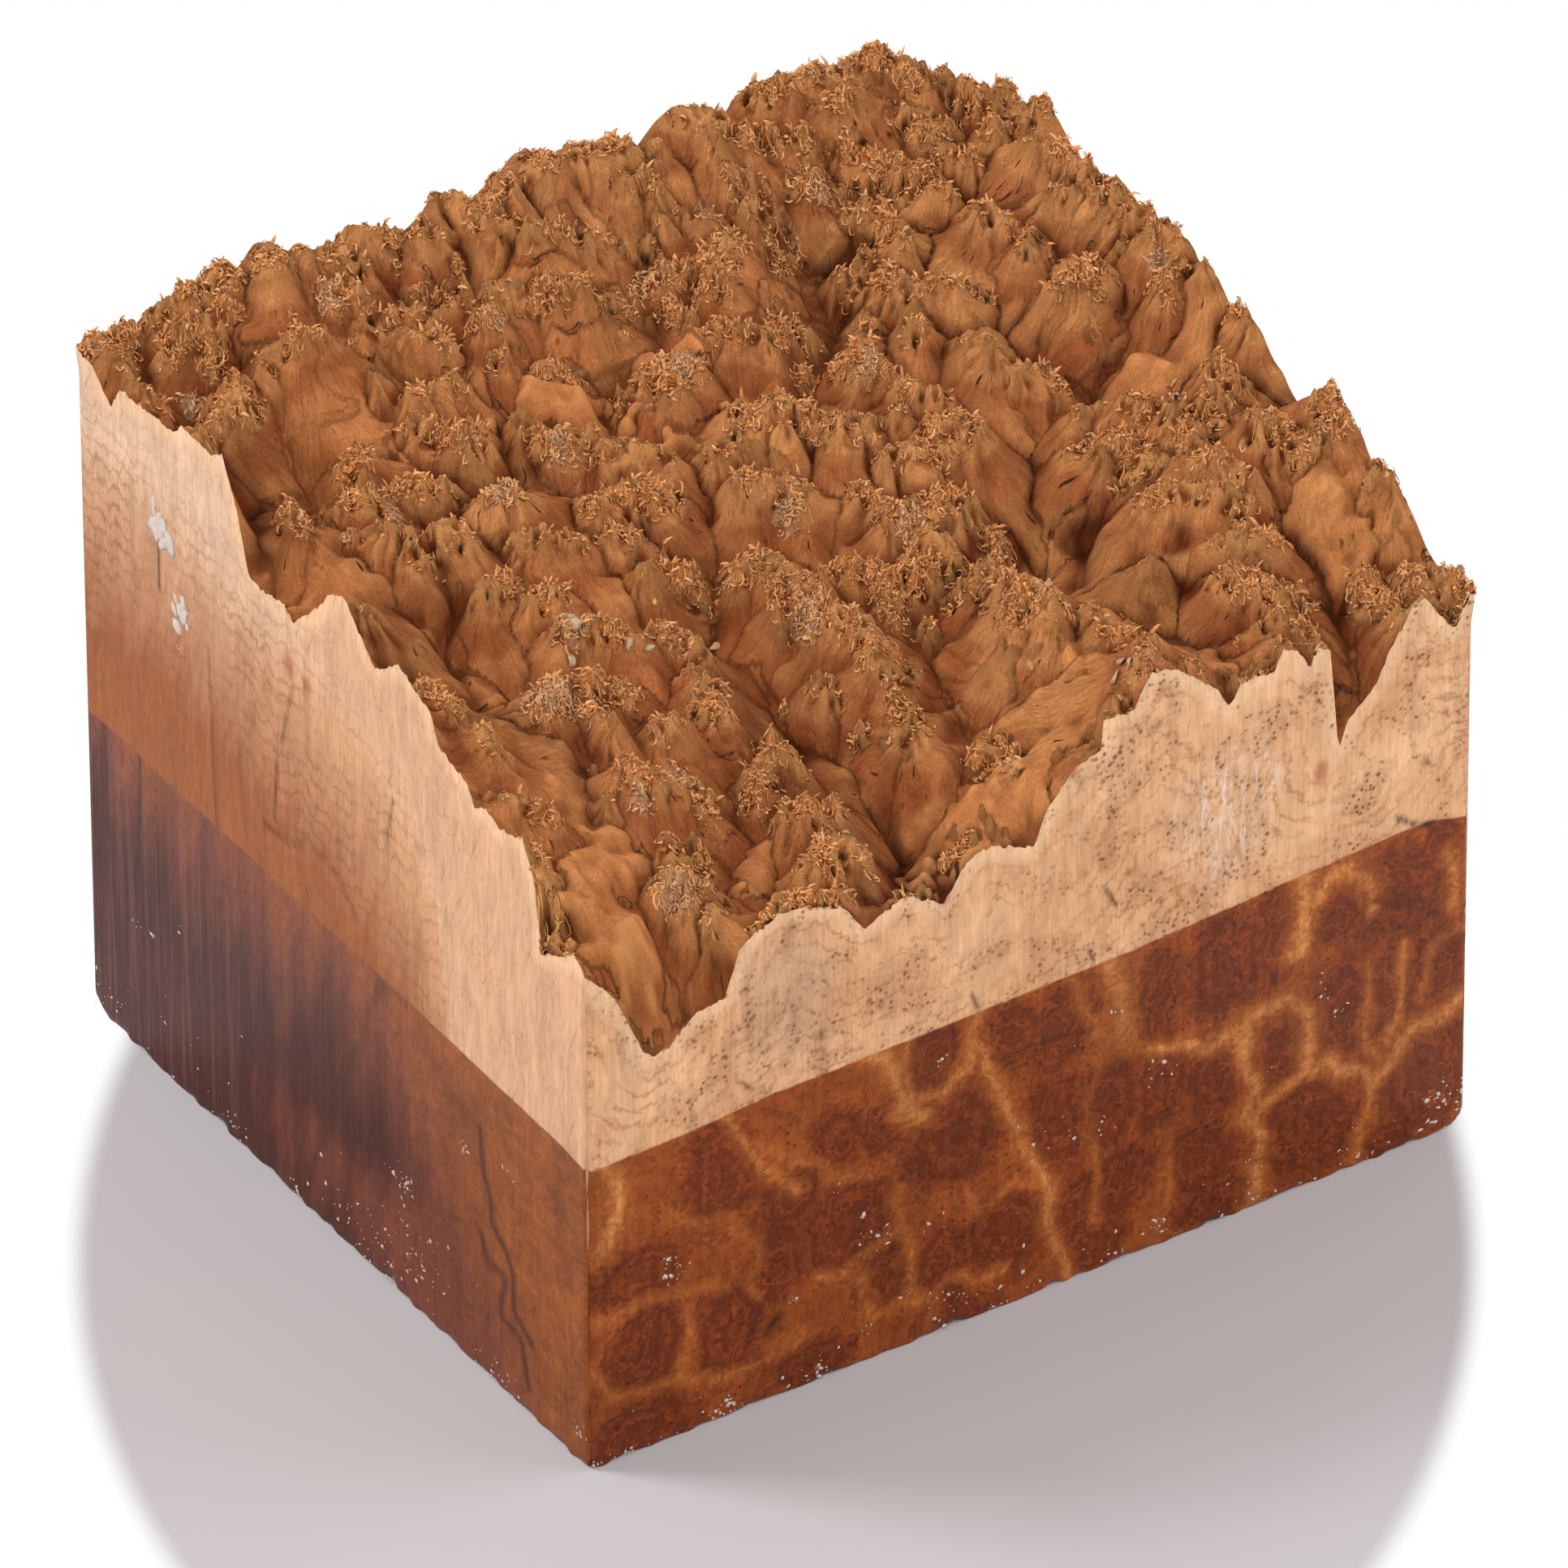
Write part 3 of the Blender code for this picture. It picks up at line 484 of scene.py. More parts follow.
def eased_weights(value, knots):
    """Weight of each knot at a value: 1 on the knot, eased down to 0 at its neighbours."""
    weights = []
    for index in range(len(knots)):
        peak = np.zeros(len(knots))
        peak[index] = 1.0
        straight = np.interp(value, knots, peak)
        weights.append(straight * straight * (3 - 2 * straight))
    return weights


def general_lie(x, y):
    """Height of the general lie of the burl face over the plan."""
    across = eased_weights(x, LIE_X)
    deep = eased_weights(y, LIE_Y)
    height = 0.0
    for weight_x, row in zip(across, LIE_HEIGHTS):
        for weight_y, value in zip(deep, row):
            height = height + value * weight_x * weight_y
    return height


def smoothed(values, columns, rows):
    """Mean of a grid over a window of twice as many cells plus one each way, its rim repeated outside."""
    for axis, reach in ((0, columns), (1, rows)):
        padding = [(0, 0), (0, 0)]
        padding[axis] = (reach + 1, reach)
        total = np.cumsum(np.pad(values, padding, mode="edge"), axis=axis)
        size = values.shape[axis]
        window = 2 * reach + 1
        values = (np.take(total, np.arange(window, window + size), axis=axis)
                  - np.take(total, np.arange(size), axis=axis)) / window
    return values


def line_segments(points):
    """Pairs of neighbouring points; a single point is a segment of no length."""
    return list(zip(points[:-1], points[1:])) or [(points[0], points[0])]


def nearest_on_segment(x, y, start, end):
    """Distance to a segment in plan, how far along it the nearest point lies, and that point."""
    run_x = end[0] - start[0]
    run_y = end[1] - start[1]
    length_squared = max(run_x ** 2 + run_y ** 2, 1e-9)
    along = np.clip(((x - start[0]) * run_x + (y - start[1]) * run_y) / length_squared, 0, 1)
    near_x = start[0] + along * run_x
    near_y = start[1] + along * run_y
    return np.hypot(x - near_x, y - near_y), along, near_x, near_y


def distance_to_line(x, y, points):
    """Distance in a plane to a line through points."""
    nearest = np.full(x.shape, BEYOND)
    for start, end in line_segments(points):
        nearest = np.minimum(nearest, nearest_on_segment(x, y, start, end)[0])
    return nearest


def places_by_crests(rng, least, spacing, offset_of):
    """Places strewn about the crest lines: the crest's rise, the distance from its line, and the place.

    Each stretch of a line gets the least number and one more for every spacing of its length. The distance
    comes from the crest's breadth and a random share, and the direction is random.
    """
    for rise, breadth, *points in CREST_LINES:
        for start, end in line_segments(points):
            length = np.hypot(end[0] - start[0], end[1] - start[1])
            for _ in range(least + int(length / spacing)):
                along = rng.random()
                offset = offset_of(breadth, rng.random())
                angle = rng.uniform(0, 2 * np.pi)
                yield (rise, offset, start[0] + along * (end[0] - start[0]) + offset * np.cos(angle),
                       start[1] + along * (end[1] - start[1]) + offset * np.sin(angle))


class BurlFace:
    """The burl face over a grid of the plan: its height and what its fibres, frayed parts and cracks need.

    The height is the highest of all crest flanks, where a flank falls beside its crest line and eases to a
    gentle fall further off. It runs softly into a floor below the general lie, is cut by the clefts, carries
    the small tufts, and meets the outlines on the two front faces.
    """

    def __init__(self, columns, rows):
        self.x, self.y = np.meshgrid(np.linspace(0, WIDTH, columns + 1), np.linspace(0, DEPTH, rows + 1),
                                     indexing="ij")
        x, y = self.x, self.y
        self.cell_x = WIDTH / columns
        self.cell_y = DEPTH / rows
        self.bent_x = x + layered(x, y, BEND_X)
        self.bent_y = y + layered(x, y, BEND_Y)
        self.roughness = 1 + layered(x, y, UNEVEN_FALL)
        self.raise_crests()
        floor = general_lie(x, y) - FLOOR_DEPTH + layered(x, y, FLOOR_WAVES)
        self.height = 0.5 * (self.height + floor + np.sqrt((self.height - floor) ** 2 + FLOOR_BLEND ** 2))
        self.cut_clefts()
        self.tuft = np.zeros(x.shape)
        self.strew_tufts()
        self.form = self.height.copy()
        self.fray_crests()
        self.height = self.meet_outlines(self.height, layered(x + 3 * y, y + 3 * x, RAGGED_LIP))
        self.form = self.meet_outlines(self.form, 0)
        self.keep_under_top()

    def raise_crests(self):
        """Take the highest flank at each point, and note whose it is, how far its crest is, and its lead."""
        shape = self.x.shape
        self.height = np.full(shape, -BEYOND)
        runner_up = np.full(shape, -BEYOND)
        self.owner = np.zeros(shape, int)
        self.run = np.zeros(shape)
        self.breadth = np.ones(shape)
        self.flow_x = np.zeros(shape)
        self.flow_y = np.zeros(shape)
        for number, (rise, breadth, *points) in enumerate(CREST_LINES):
            for start, end in line_segments(points):
                distance, along, near_x, near_y = nearest_on_segment(self.bent_x, self.bent_y, start, end)
                eased = (np.sqrt(distance ** 2 + CREST_BLUNTNESS ** 2) - CREST_BLUNTNESS) * self.roughness
                start_height = general_lie(*start) + rise
                end_height = general_lie(*end) + rise
                top = start_height + (end_height - start_height) * along
                near_fall = FRONT_FALL + (BACK_FALL - FRONT_FALL) * ease(start[1], *FALL_CHANGE)
                fall = FAR_FALL * eased + (near_fall - FAR_FALL) * breadth * (1 - np.exp(-eased / breadth))
                height = top - fall
                higher = height > self.height
                other = self.owner != number
                beaten = np.where(higher, self.height, height)
                runner_up = np.where(other, np.maximum(runner_up, beaten), runner_up)
                reach = FLOW_RADIUS / np.maximum(distance, NEAREST)
                self.take_over(..., higher, height=height, owner=number, run=distance, breadth=breadth,
                               flow_x=near_x + (self.bent_x - near_x) * reach,
                               flow_y=near_y + (self.bent_y - near_y) * reach)
        lead = self.height - runner_up
        slope_x, slope_y = np.gradient(lead, self.cell_x, self.cell_y)
        self.crease = np.clip(lead / np.maximum(np.hypot(slope_x, slope_y), LEAST_SLOPE), 0, CREASE_REACH)

    def take_over(self, part, higher, **values):
        """Put new values into the named fields, in a part of the grid, where a new flank is the highest."""
        for name, value in values.items():
            field = getattr(self, name)
            field[part] = np.where(higher, value, field[part])

    def cut_clefts(self):
        """Take the clefts out of the height, deepest on their lines."""
        for depth, breadth, *points in CLEFTS:
            distance = distance_to_line(self.bent_x, self.bent_y, points)
            self.height = self.height - depth * np.exp(-distance / breadth)

    def strew_tufts(self):
        """Add small cones, lower the further they stand from their crest line."""
        def offset_of(breadth, share):
            return breadth * TUFT_SPREAD * share ** TUFT_CROWDING

        rng = np.random.default_rng(TUFT_SEED)
        for rise, offset, tip_x, tip_y in places_by_crests(rng, TUFTS_EACH, TUFT_SPACING, offset_of):
            tip = general_lie(tip_x, tip_y) + rise - TUFT_DROP * offset + rng.uniform(*TUFT_RISE)
            self.add_cone(tip_x, tip_y, tip, rng.uniform(*TUFT_GIRTH), TUFT_FALL)

    def add_cone(self, tip_x, tip_y, tip, girth, steepness):
        """One small cone with concave flanks, worked out only on the grid round its tip."""
        part = self.part_near(tip_x, tip_y, CONE_REACH)
        gap_x = self.bent_x[part] - tip_x
        gap_y = self.bent_y[part] - tip_y
        distance = np.hypot(gap_x, gap_y)
        cone = tip - steepness * girth * (1 - np.exp(-distance / girth)) - distance
        higher = cone > self.height[part]
        spread = FLOW_RADIUS / np.maximum(distance, NEAREST)
        self.take_over(part, higher, height=cone, tuft=np.exp(-distance / girth), run=distance,
                       flow_x=tip_x + gap_x * spread, flow_y=tip_y + gap_y * spread)

    def part_near(self, x, y, reach):
        """Index of the part of the grid within a reach of a place."""
        return np.ix_(np.abs(self.x[:, 0] - x) < reach, np.abs(self.y[0] - y) < reach)

    def fray_crests(self):
        """Flutes and fibres down the flanks, then crumbs, thorns and pits where the crests are frayed."""
        x, y = self.x, self.y
        ragged = self.breadth * 0.5 + layered(x, y, RAGGED_CRESTS)
        self.fray = np.maximum(ease(ragged - self.run, -0.7, 1.0), ease(self.tuft, 0.35, 0.8))
        gouged = FLUTE_LEAST + FLUTE_MOST * np.exp(-((self.run - FLUTE_PLACE) / FLUTE_PLACE) ** 2)
        flutes = ridged(self.flow_x, self.flow_y, FLUTE_SIZE, 13)
        fibres = wander(self.flow_x * 2, self.flow_y * 2, FIBRE_SIZE * 2, 14)
        crumbs = ridged(x, y, COARSE_CRUMB, 15) + FINE_SHARE * ridged(x, y, FINE_CRUMB, 16)
        self.height = self.height + gouged * (flutes + FIBRE_SHARE * fibres)
        self.height = self.height + CRUMB_HEIGHT * self.fray * crumbs
        self.crumb = ease(crumbs, -0.9, 1.3)
        split = ease(layered(x, y, SPLITS), 0.05, 0.4)
        self.height = self.height - SLIT_DEPTH * np.exp(-(self.crease / SLIT_WIDTH) ** 2) * split
        self.strew_thorns()
        self.pit = np.zeros(x.shape)
        self.sink_pits()

    def strew_thorns(self):
        """Add small sharp thorns about the crest lines, each a millimetre or two above the surface there."""
        def offset_of(breadth, share):
            return THORN_GAP + breadth * share

        rng = np.random.default_rng(THORN_SEED)
        for _, _, tip_x, tip_y in places_by_crests(rng, THORNS_EACH, THORN_SPACING, offset_of):
            stand = THORN_LOW + THORN_HIGH * rng.random() ** 2
            girth = rng.uniform(*THORN_GIRTH)
            if THORN_BORDER < tip_x < WIDTH - THORN_BORDER and THORN_BORDER < tip_y < DEPTH - THORN_BORDER:
                self.add_cone(tip_x, tip_y, self.ground_at(self.height, tip_x, tip_y) + stand, girth,
                              THORN_FALL)

    def sink_pits(self):
        """Sink small round pits into the frayed parts."""
        rng = np.random.default_rng(PIT_SEED)
        weight = (self.fray * (0.2 + (self.run > 1.0))).reshape(-1)
        for place in rng.choice(weight.size, PIT_COUNT, p=weight / weight.sum()):
            middle_x = self.x.reshape(-1)[place]
            middle_y = self.y.reshape(-1)[place]
            radius = rng.uniform(*PIT_RADIUS)
            part = self.part_near(middle_x, middle_y, PIT_REACH)
            distance = np.hypot((self.x[part] - middle_x) * rng.uniform(0.7, 1.2), self.y[part] - middle_y)
            share = np.exp(-(distance / radius) ** 2)
            self.height[part] -= PIT_DEPTH * radius * share
            self.pit[part] = np.maximum(self.pit[part], share)

    def meet_outlines(self, height, ragged):
        """Run the top out into the outlines of the left and front faces, with a slightly ragged edge."""
        ragged = ragged * np.ones(height.shape)
        left_outline = height_of(LEFT_OUTLINE, self.y[0]) + ragged[0]
        front_outline = height_of(FRONT_OUTLINE, self.x[:, 0]) + ragged[:, 0]
        left_share = np.clip(1 - self.x / OUTLINE_REACH, 0, 1) ** 2
        front_share = np.clip(1 - self.y / OUTLINE_REACH, 0, 1) ** 2
        total = np.maximum(left_share + front_share, 1e-9)
        left_step = (left_outline - height[0])[None, :]
        front_step = (front_outline - height[:, 0])[:, None]
        step = (left_share * left_step + front_share * front_step) / total
        return height + step * np.maximum(left_share, front_share)

    def keep_under_top(self):
        """Squeeze the last few millimetres so that nothing stands above the solid."""
        knee = TOP - SQUEEZE_HEIGHT
        room = SQUEEZE_HEIGHT - SQUEEZE_ROOM
        for name in ("height", "form"):
            height = getattr(self, name)
            squeezed = knee + room * (1 - np.exp(-(height - knee) / room))
            setattr(self, name, np.where(height > knee, squeezed, height))

    def sample(self, values, x, y):
        """Values of a grid at plan positions, straight between its points."""
        columns = self.x.shape[0] - 1
        rows = self.x.shape[1] - 1
        u = np.clip(x / WIDTH * columns, 0, columns - 1e-6)
        v = np.clip(y / DEPTH * rows, 0, rows - 1e-6)
        i = u.astype(int)
        j = v.astype(int)
        s = u - i
        t = v - j
        return (values[i, j] * (1 - s) * (1 - t) + values[i + 1, j] * s * (1 - t)
                + values[i, j + 1] * (1 - s) * t + values[i + 1, j + 1] * s * t)

    def ground_at(self, values, x, y):
        """Value of a grid at one plan position."""
        return float(self.sample(values, np.array([x]), np.array([y]))[0])


def rim_walk(columns, rows, hidden_step=1):
    """Grid positions once round the rim, anticlockwise from the front left corner.

    The right and back faces can be taken in larger steps.
    """
    right = np.arange(0, rows, hidden_step)
    back = np.arange(columns, 0, -hidden_step)
    i = np.concatenate([np.arange(0, columns), np.full(len(right), columns), back, np.zeros(rows, int)])
    j = np.concatenate([np.zeros(columns, int), right, np.full(len(back), rows), np.arange(rows, 0, -1)])
    return i, j


def line_field(along, height, lines, widening=1.0):
    """Strength of a set of soft lines at points of a face, fading to each side over a line's half width."""
    field = np.zeros(along.shape)
    for half_width, strength, *points in lines:
        distance = distance_to_line(along, height, points)
        field = np.maximum(field, strength * np.exp(-(distance / (widening * half_width)) ** 1.5))
    return field


def height_of(line, along):
    """Height of a line of a face at distances along the face."""
    return np.interp(along, *np.array(line).T)


def eye_fields(along, height, eyes):
    """How far out of the nearest eye a point is: 0 in its middle, 1 on its edge."""
    nearest = np.full(along.shape, 1.6)
    for middle, level, half_width, half_height in eyes:
        distance = np.hypot((along - middle) / half_width, (height - level) / half_height)
        nearest = np.minimum(nearest, distance)
    return nearest


def scattered_eyes(length, seed):
    """Eyes for a face that the photograph doesn't show: a jittered lattice of ovals."""
    rng = np.random.default_rng(seed)
    eyes = []
    for middle in np.arange(6, length, 12):
        for level in np.arange(6, 110, 13):
            eyes.append((middle + rng.uniform(-4, 4), level + rng.uniform(-4, 4), rng.uniform(4, 8),
                         rng.uniform(5, 9)))
    return eyes


def linear_colour(code):
    """Linear colour with full alpha from an sRGB hex code."""
    channels = [int(code[place:place + 2], 16) / 255 for place in (1, 3, 5)]
    return tuple(c / 12.92 if c <= 0.04045 else ((c + 0.055) / 1.055) ** 2.4 for c in channels) + (1.0,)


def add_node(tree, kind, *values, also=None):
    """Add a node of a kind in the table below, give it values in the order of its names, return its output.

    A name in small letters is a setting, and any other is an input, which takes a number, a socket or an sRGB
    hex colour. Further names and values can be given in also.
    """
    blender_kind, names, preset, output = kind
    node = tree.nodes.new(blender_kind)
    for name, value in {**preset, **dict(zip(names, values)), **(also or {})}.items():
        if isinstance(name, str) and name.islower():
            setattr(node, name, value)
        elif isinstance(value, bpy.types.NodeSocket):
            tree.links.new(value, node.inputs[name])
        else:
            node.inputs[name].default_value = linear_colour(value) if isinstance(value, str) else value
    return node.outputs[output]


# Kinds of node: Blender's name, the names that values go to, what is preset, and the output that is used
PLACE = ("ShaderNodeTexCoord", (), {}, "Object")
MAPPING = ("ShaderNodeMapping", ("Vector", "Scale", "Rotation", "Location"), {}, 0)
FIELD = ("ShaderNodeAttribute", ("attribute_name",), {}, "Fac")
VECTOR_FIELD = ("ShaderNodeAttribute", ("attribute_name",), {}, "Vector")
HEIGHT = ("ShaderNodeSeparateXYZ", ("Vector",), {}, "Z")
NOISE = ("ShaderNodeTexNoise", ("Vector", "Scale", "Detail", "Roughness", "Distortion"),
         {"Detail": 3.0, "Roughness": 0.6}, "Fac")
CELLS = ("ShaderNodeTexVoronoi", ("Vector", "Scale"), {}, 0)
RANGE = ("ShaderNodeMapRange", ("Value", 1, 2, 3, 4), {}, 0)
OVER = ("ShaderNodeMix", (0, 6, 7), {"data_type": "RGBA"}, 2)
TONE = ("ShaderNodeMix", (6, 7), {"data_type": "RGBA", "blend_type": "MULTIPLY", 0: 1.0}, 2)
STOPS = ("ShaderNodeValToRGB", ("Fac",), {}, "Color")
BUMP = ("ShaderNodeBump", ("Height", "Strength", "Distance", "Normal"), {}, 0)
PRINCIPLED = ("ShaderNodeBsdfPrincipled", ("Base Color", "Roughness", "Specular IOR Level", "Normal"), {}, 0)
ADD, SUBTRACT, MULTIPLY, DIVIDE, MULTIPLY_ADD, SINE, ABSOLUTE = (
    ("ShaderNodeMath", (0, 1, 2), {"operation": operation}, 0)
    for operation in ("ADD", "SUBTRACT", "MULTIPLY", "DIVIDE", "MULTIPLY_ADD", "SINE", "ABSOLUTE"))


def new_material(name):
    """An empty node material, and add_node for its tree."""
    material = bpy.data.materials.new(name)
    material.use_nodes = True
    material.node_tree.nodes.clear()
    return material, partial(add_node, material.node_tree)


def finished(material, shader):
    """The material with its shader on."""
    output = material.node_tree.nodes.new("ShaderNodeOutputMaterial")
    material.node_tree.links.new(shader, output.inputs["Surface"])
    return material


def set_stops(colour, *stops):
    """Give a colour ramp its stops, pairs of a position and an sRGB hex code, and hand its output on."""
    elements = colour.node.color_ramp.elements
    for element, (position, code) in zip((elements[0], elements[1]), (stops[0], stops[-1])):
        element.position = position
        element.color = linear_colour(code)
    for position, code in stops[1:-1]:
        elements.new(position).color = linear_colour(code)
    return colour


def per_metre(size):
    """Texture scale on metre coordinates for a pattern of this size in millimetres."""
    return 1000.0 / size


# Sizes in mm of the skin's fibres, streaks and dark dashes, and the spacing of the waxed wood's pinholes
FIBRE_GRAIN = 0.4
STREAK_GRAIN = 2.2
DASH_GRAIN = 0.55
PINHOLE_SPACING = 1.5


def burl_skin_material(looks):
    """Natural burl skin of mallee, dried: a suede of short fibres down the flanks, frayed at the crests.

    The fibres give fine short streaks, the crests are lighter and crumbly with grey weathered caps, russet
    shows where the skin has rubbed, and thin broken cracks follow the creases. Painted shade darkens the
    hollows, a painted highlight lightens the ridges, and the crumbs get painted light on their tops and
    painted shade between them. It is matt with a faint sheen.
    The real fibres are about 0.1 mm wide, and are drawn four times as coarse so that they show.
    """
    material, add = new_material("dried burl skin")
    flow = add(VECTOR_FIELD, "fibre_flow")
    fray = add(FIELD, "fray")
    crease = add(FIELD, "crease")
    hollow = add(FIELD, "hollow")
    weathered = add(FIELD, "weathered")
    foot = add(FIELD, "crest_foot")
    pit = add(FIELD, "pit")
    place = add(PLACE)

    fibres = add(NOISE, flow, 1 / FIBRE_GRAIN, 4.0, 0.7)
    streaks = add(NOISE, flow, 1 / STREAK_GRAIN)
    grit = add(NOISE, place, per_metre(0.5), 4.0, 0.75, 0.6)
    crumbs = add(NOISE, place, per_metre(0.9), 4.0, 0.7, 1.4)
    patches = add(NOISE, place, per_metre(9), 5.0, 0.68, 0.8)
    clouds = add(NOISE, place, per_metre(26), 3.0)

    # painted shade: the skin turns to its deep colour in hollows and valleys, where shade falls
    skin = add(OVER, hollow, looks.skin_light, looks.skin_hollow_shade)
    cloud_share = add(RANGE, clouds, 0.4, 0.62, 0.0, 0.7)
    skin = add(OVER, cloud_share, skin, looks.skin_warm)
    foot_noise = add(MULTIPLY_ADD, patches, 1.6, foot)
    russet_share = add(RANGE, foot_noise, 1.3, 1.9, 0.0, 0.5)
    skin = add(OVER, russet_share, skin, looks.skin_russet)
    rubbed = add(MULTIPLY, add(RANGE, streaks, 0.5, 0.64, 0.0, 0.65),
                 add(RANGE, add(ADD, patches, fray), 0.62, 0.95, 0.0, 1.0))
    skin = add(OVER, rubbed, skin, looks.skin_russet)
    for noise, low, high, dark, light in ((streaks, 0.3, 0.7, 0.88, 1.1), (fibres, 0.32, 0.68, 0.74, 1.2),
                                          (grit, 0.32, 0.6, 0.8, 1.08)):
        skin = add(TONE, skin, add(RANGE, noise, low, high, dark, light))

    # painted light and shade: crumb tops take the light frayed and grey colours and the gaps between them the
    # dark ones, mixed with random noise
    crumb_height = add(MULTIPLY_ADD, crumbs, 0.8, add(FIELD, "crumb"))
    crumb_light_share = add(RANGE, crumb_height, 0.6, 1.2, 0.0, 1.0)
    frayed = add(OVER, crumb_light_share, looks.fray_shade, looks.fray_light_and_highlight)
    skin = add(OVER, add(MULTIPLY, fray, 0.85), skin, frayed)
    # painted shade: frayed hollows are darkened further
    skin = add(TONE, skin, add(RANGE, add(MULTIPLY, hollow, fray), 0.2, 1.0, 1.0, 0.55))

    grey_noise = add(MULTIPLY_ADD, crumbs, 0.9, weathered)
    grey_share = add(RANGE, grey_noise, 0.95, 1.3, 0.0, 0.6)
    grey = add(OVER, crumb_light_share, looks.tip_dark_and_shade, looks.tip_grey)
    skin = add(OVER, grey_share, skin, grey)

    shift = add(NOISE, place, per_metre(2.5), 3.0)
    # painted highlight: raised ridges are lightened towards the frayed colour
    ridge_highlight_share = add(MULTIPLY, add(FIELD, "ridge"), 0.4)
    skin = add(OVER, ridge_highlight_share, skin, looks.fray_light_and_highlight)
    crack_place = add(MULTIPLY_ADD, shift, 1.1, crease)
    crack_line = add(RANGE, add(ABSOLUTE, add(SUBTRACT, crack_place, 0.75)), 0.02, 0.09, 1.0, 0.0)
    crack_open = add(RANGE, add(NOISE, place, per_metre(6), 2.0), 0.53, 0.58, 0.0, 0.8)
    skin = add(OVER, add(MULTIPLY, crack_line, crack_open), skin, looks.crack)
    dash = add(NOISE, flow, 1 / DASH_GRAIN, 1.0)
    dash_share = add(MULTIPLY, add(RANGE, dash, 0.68, 0.71, 0.0, 0.9),
                     add(RANGE, patches, 0.45, 0.6, 0.0, 1.0))
    skin = add(OVER, dash_share, skin, looks.crack)
    skin = add(OVER, add(RANGE, pit, 0.35, 0.75, 0.0, 0.85), skin, looks.crack)

    fibre_bump = add(BUMP, fibres, 0.9, 0.0005)
    grain = add(MULTIPLY_ADD, add(MULTIPLY, crumbs, fray), 2.2, grit)
    grain_bump = add(BUMP, grain, 0.8, 0.0004, fibre_bump)
    sheen = {"Sheen Weight": 0.05, "Sheen Roughness": 0.5, "Sheen Tint": looks.fray_light_and_highlight}
    shader = add(PRINCIPLED, skin, 0.9, 0.1, grain_bump, also=sheen)
    return finished(material, shader)


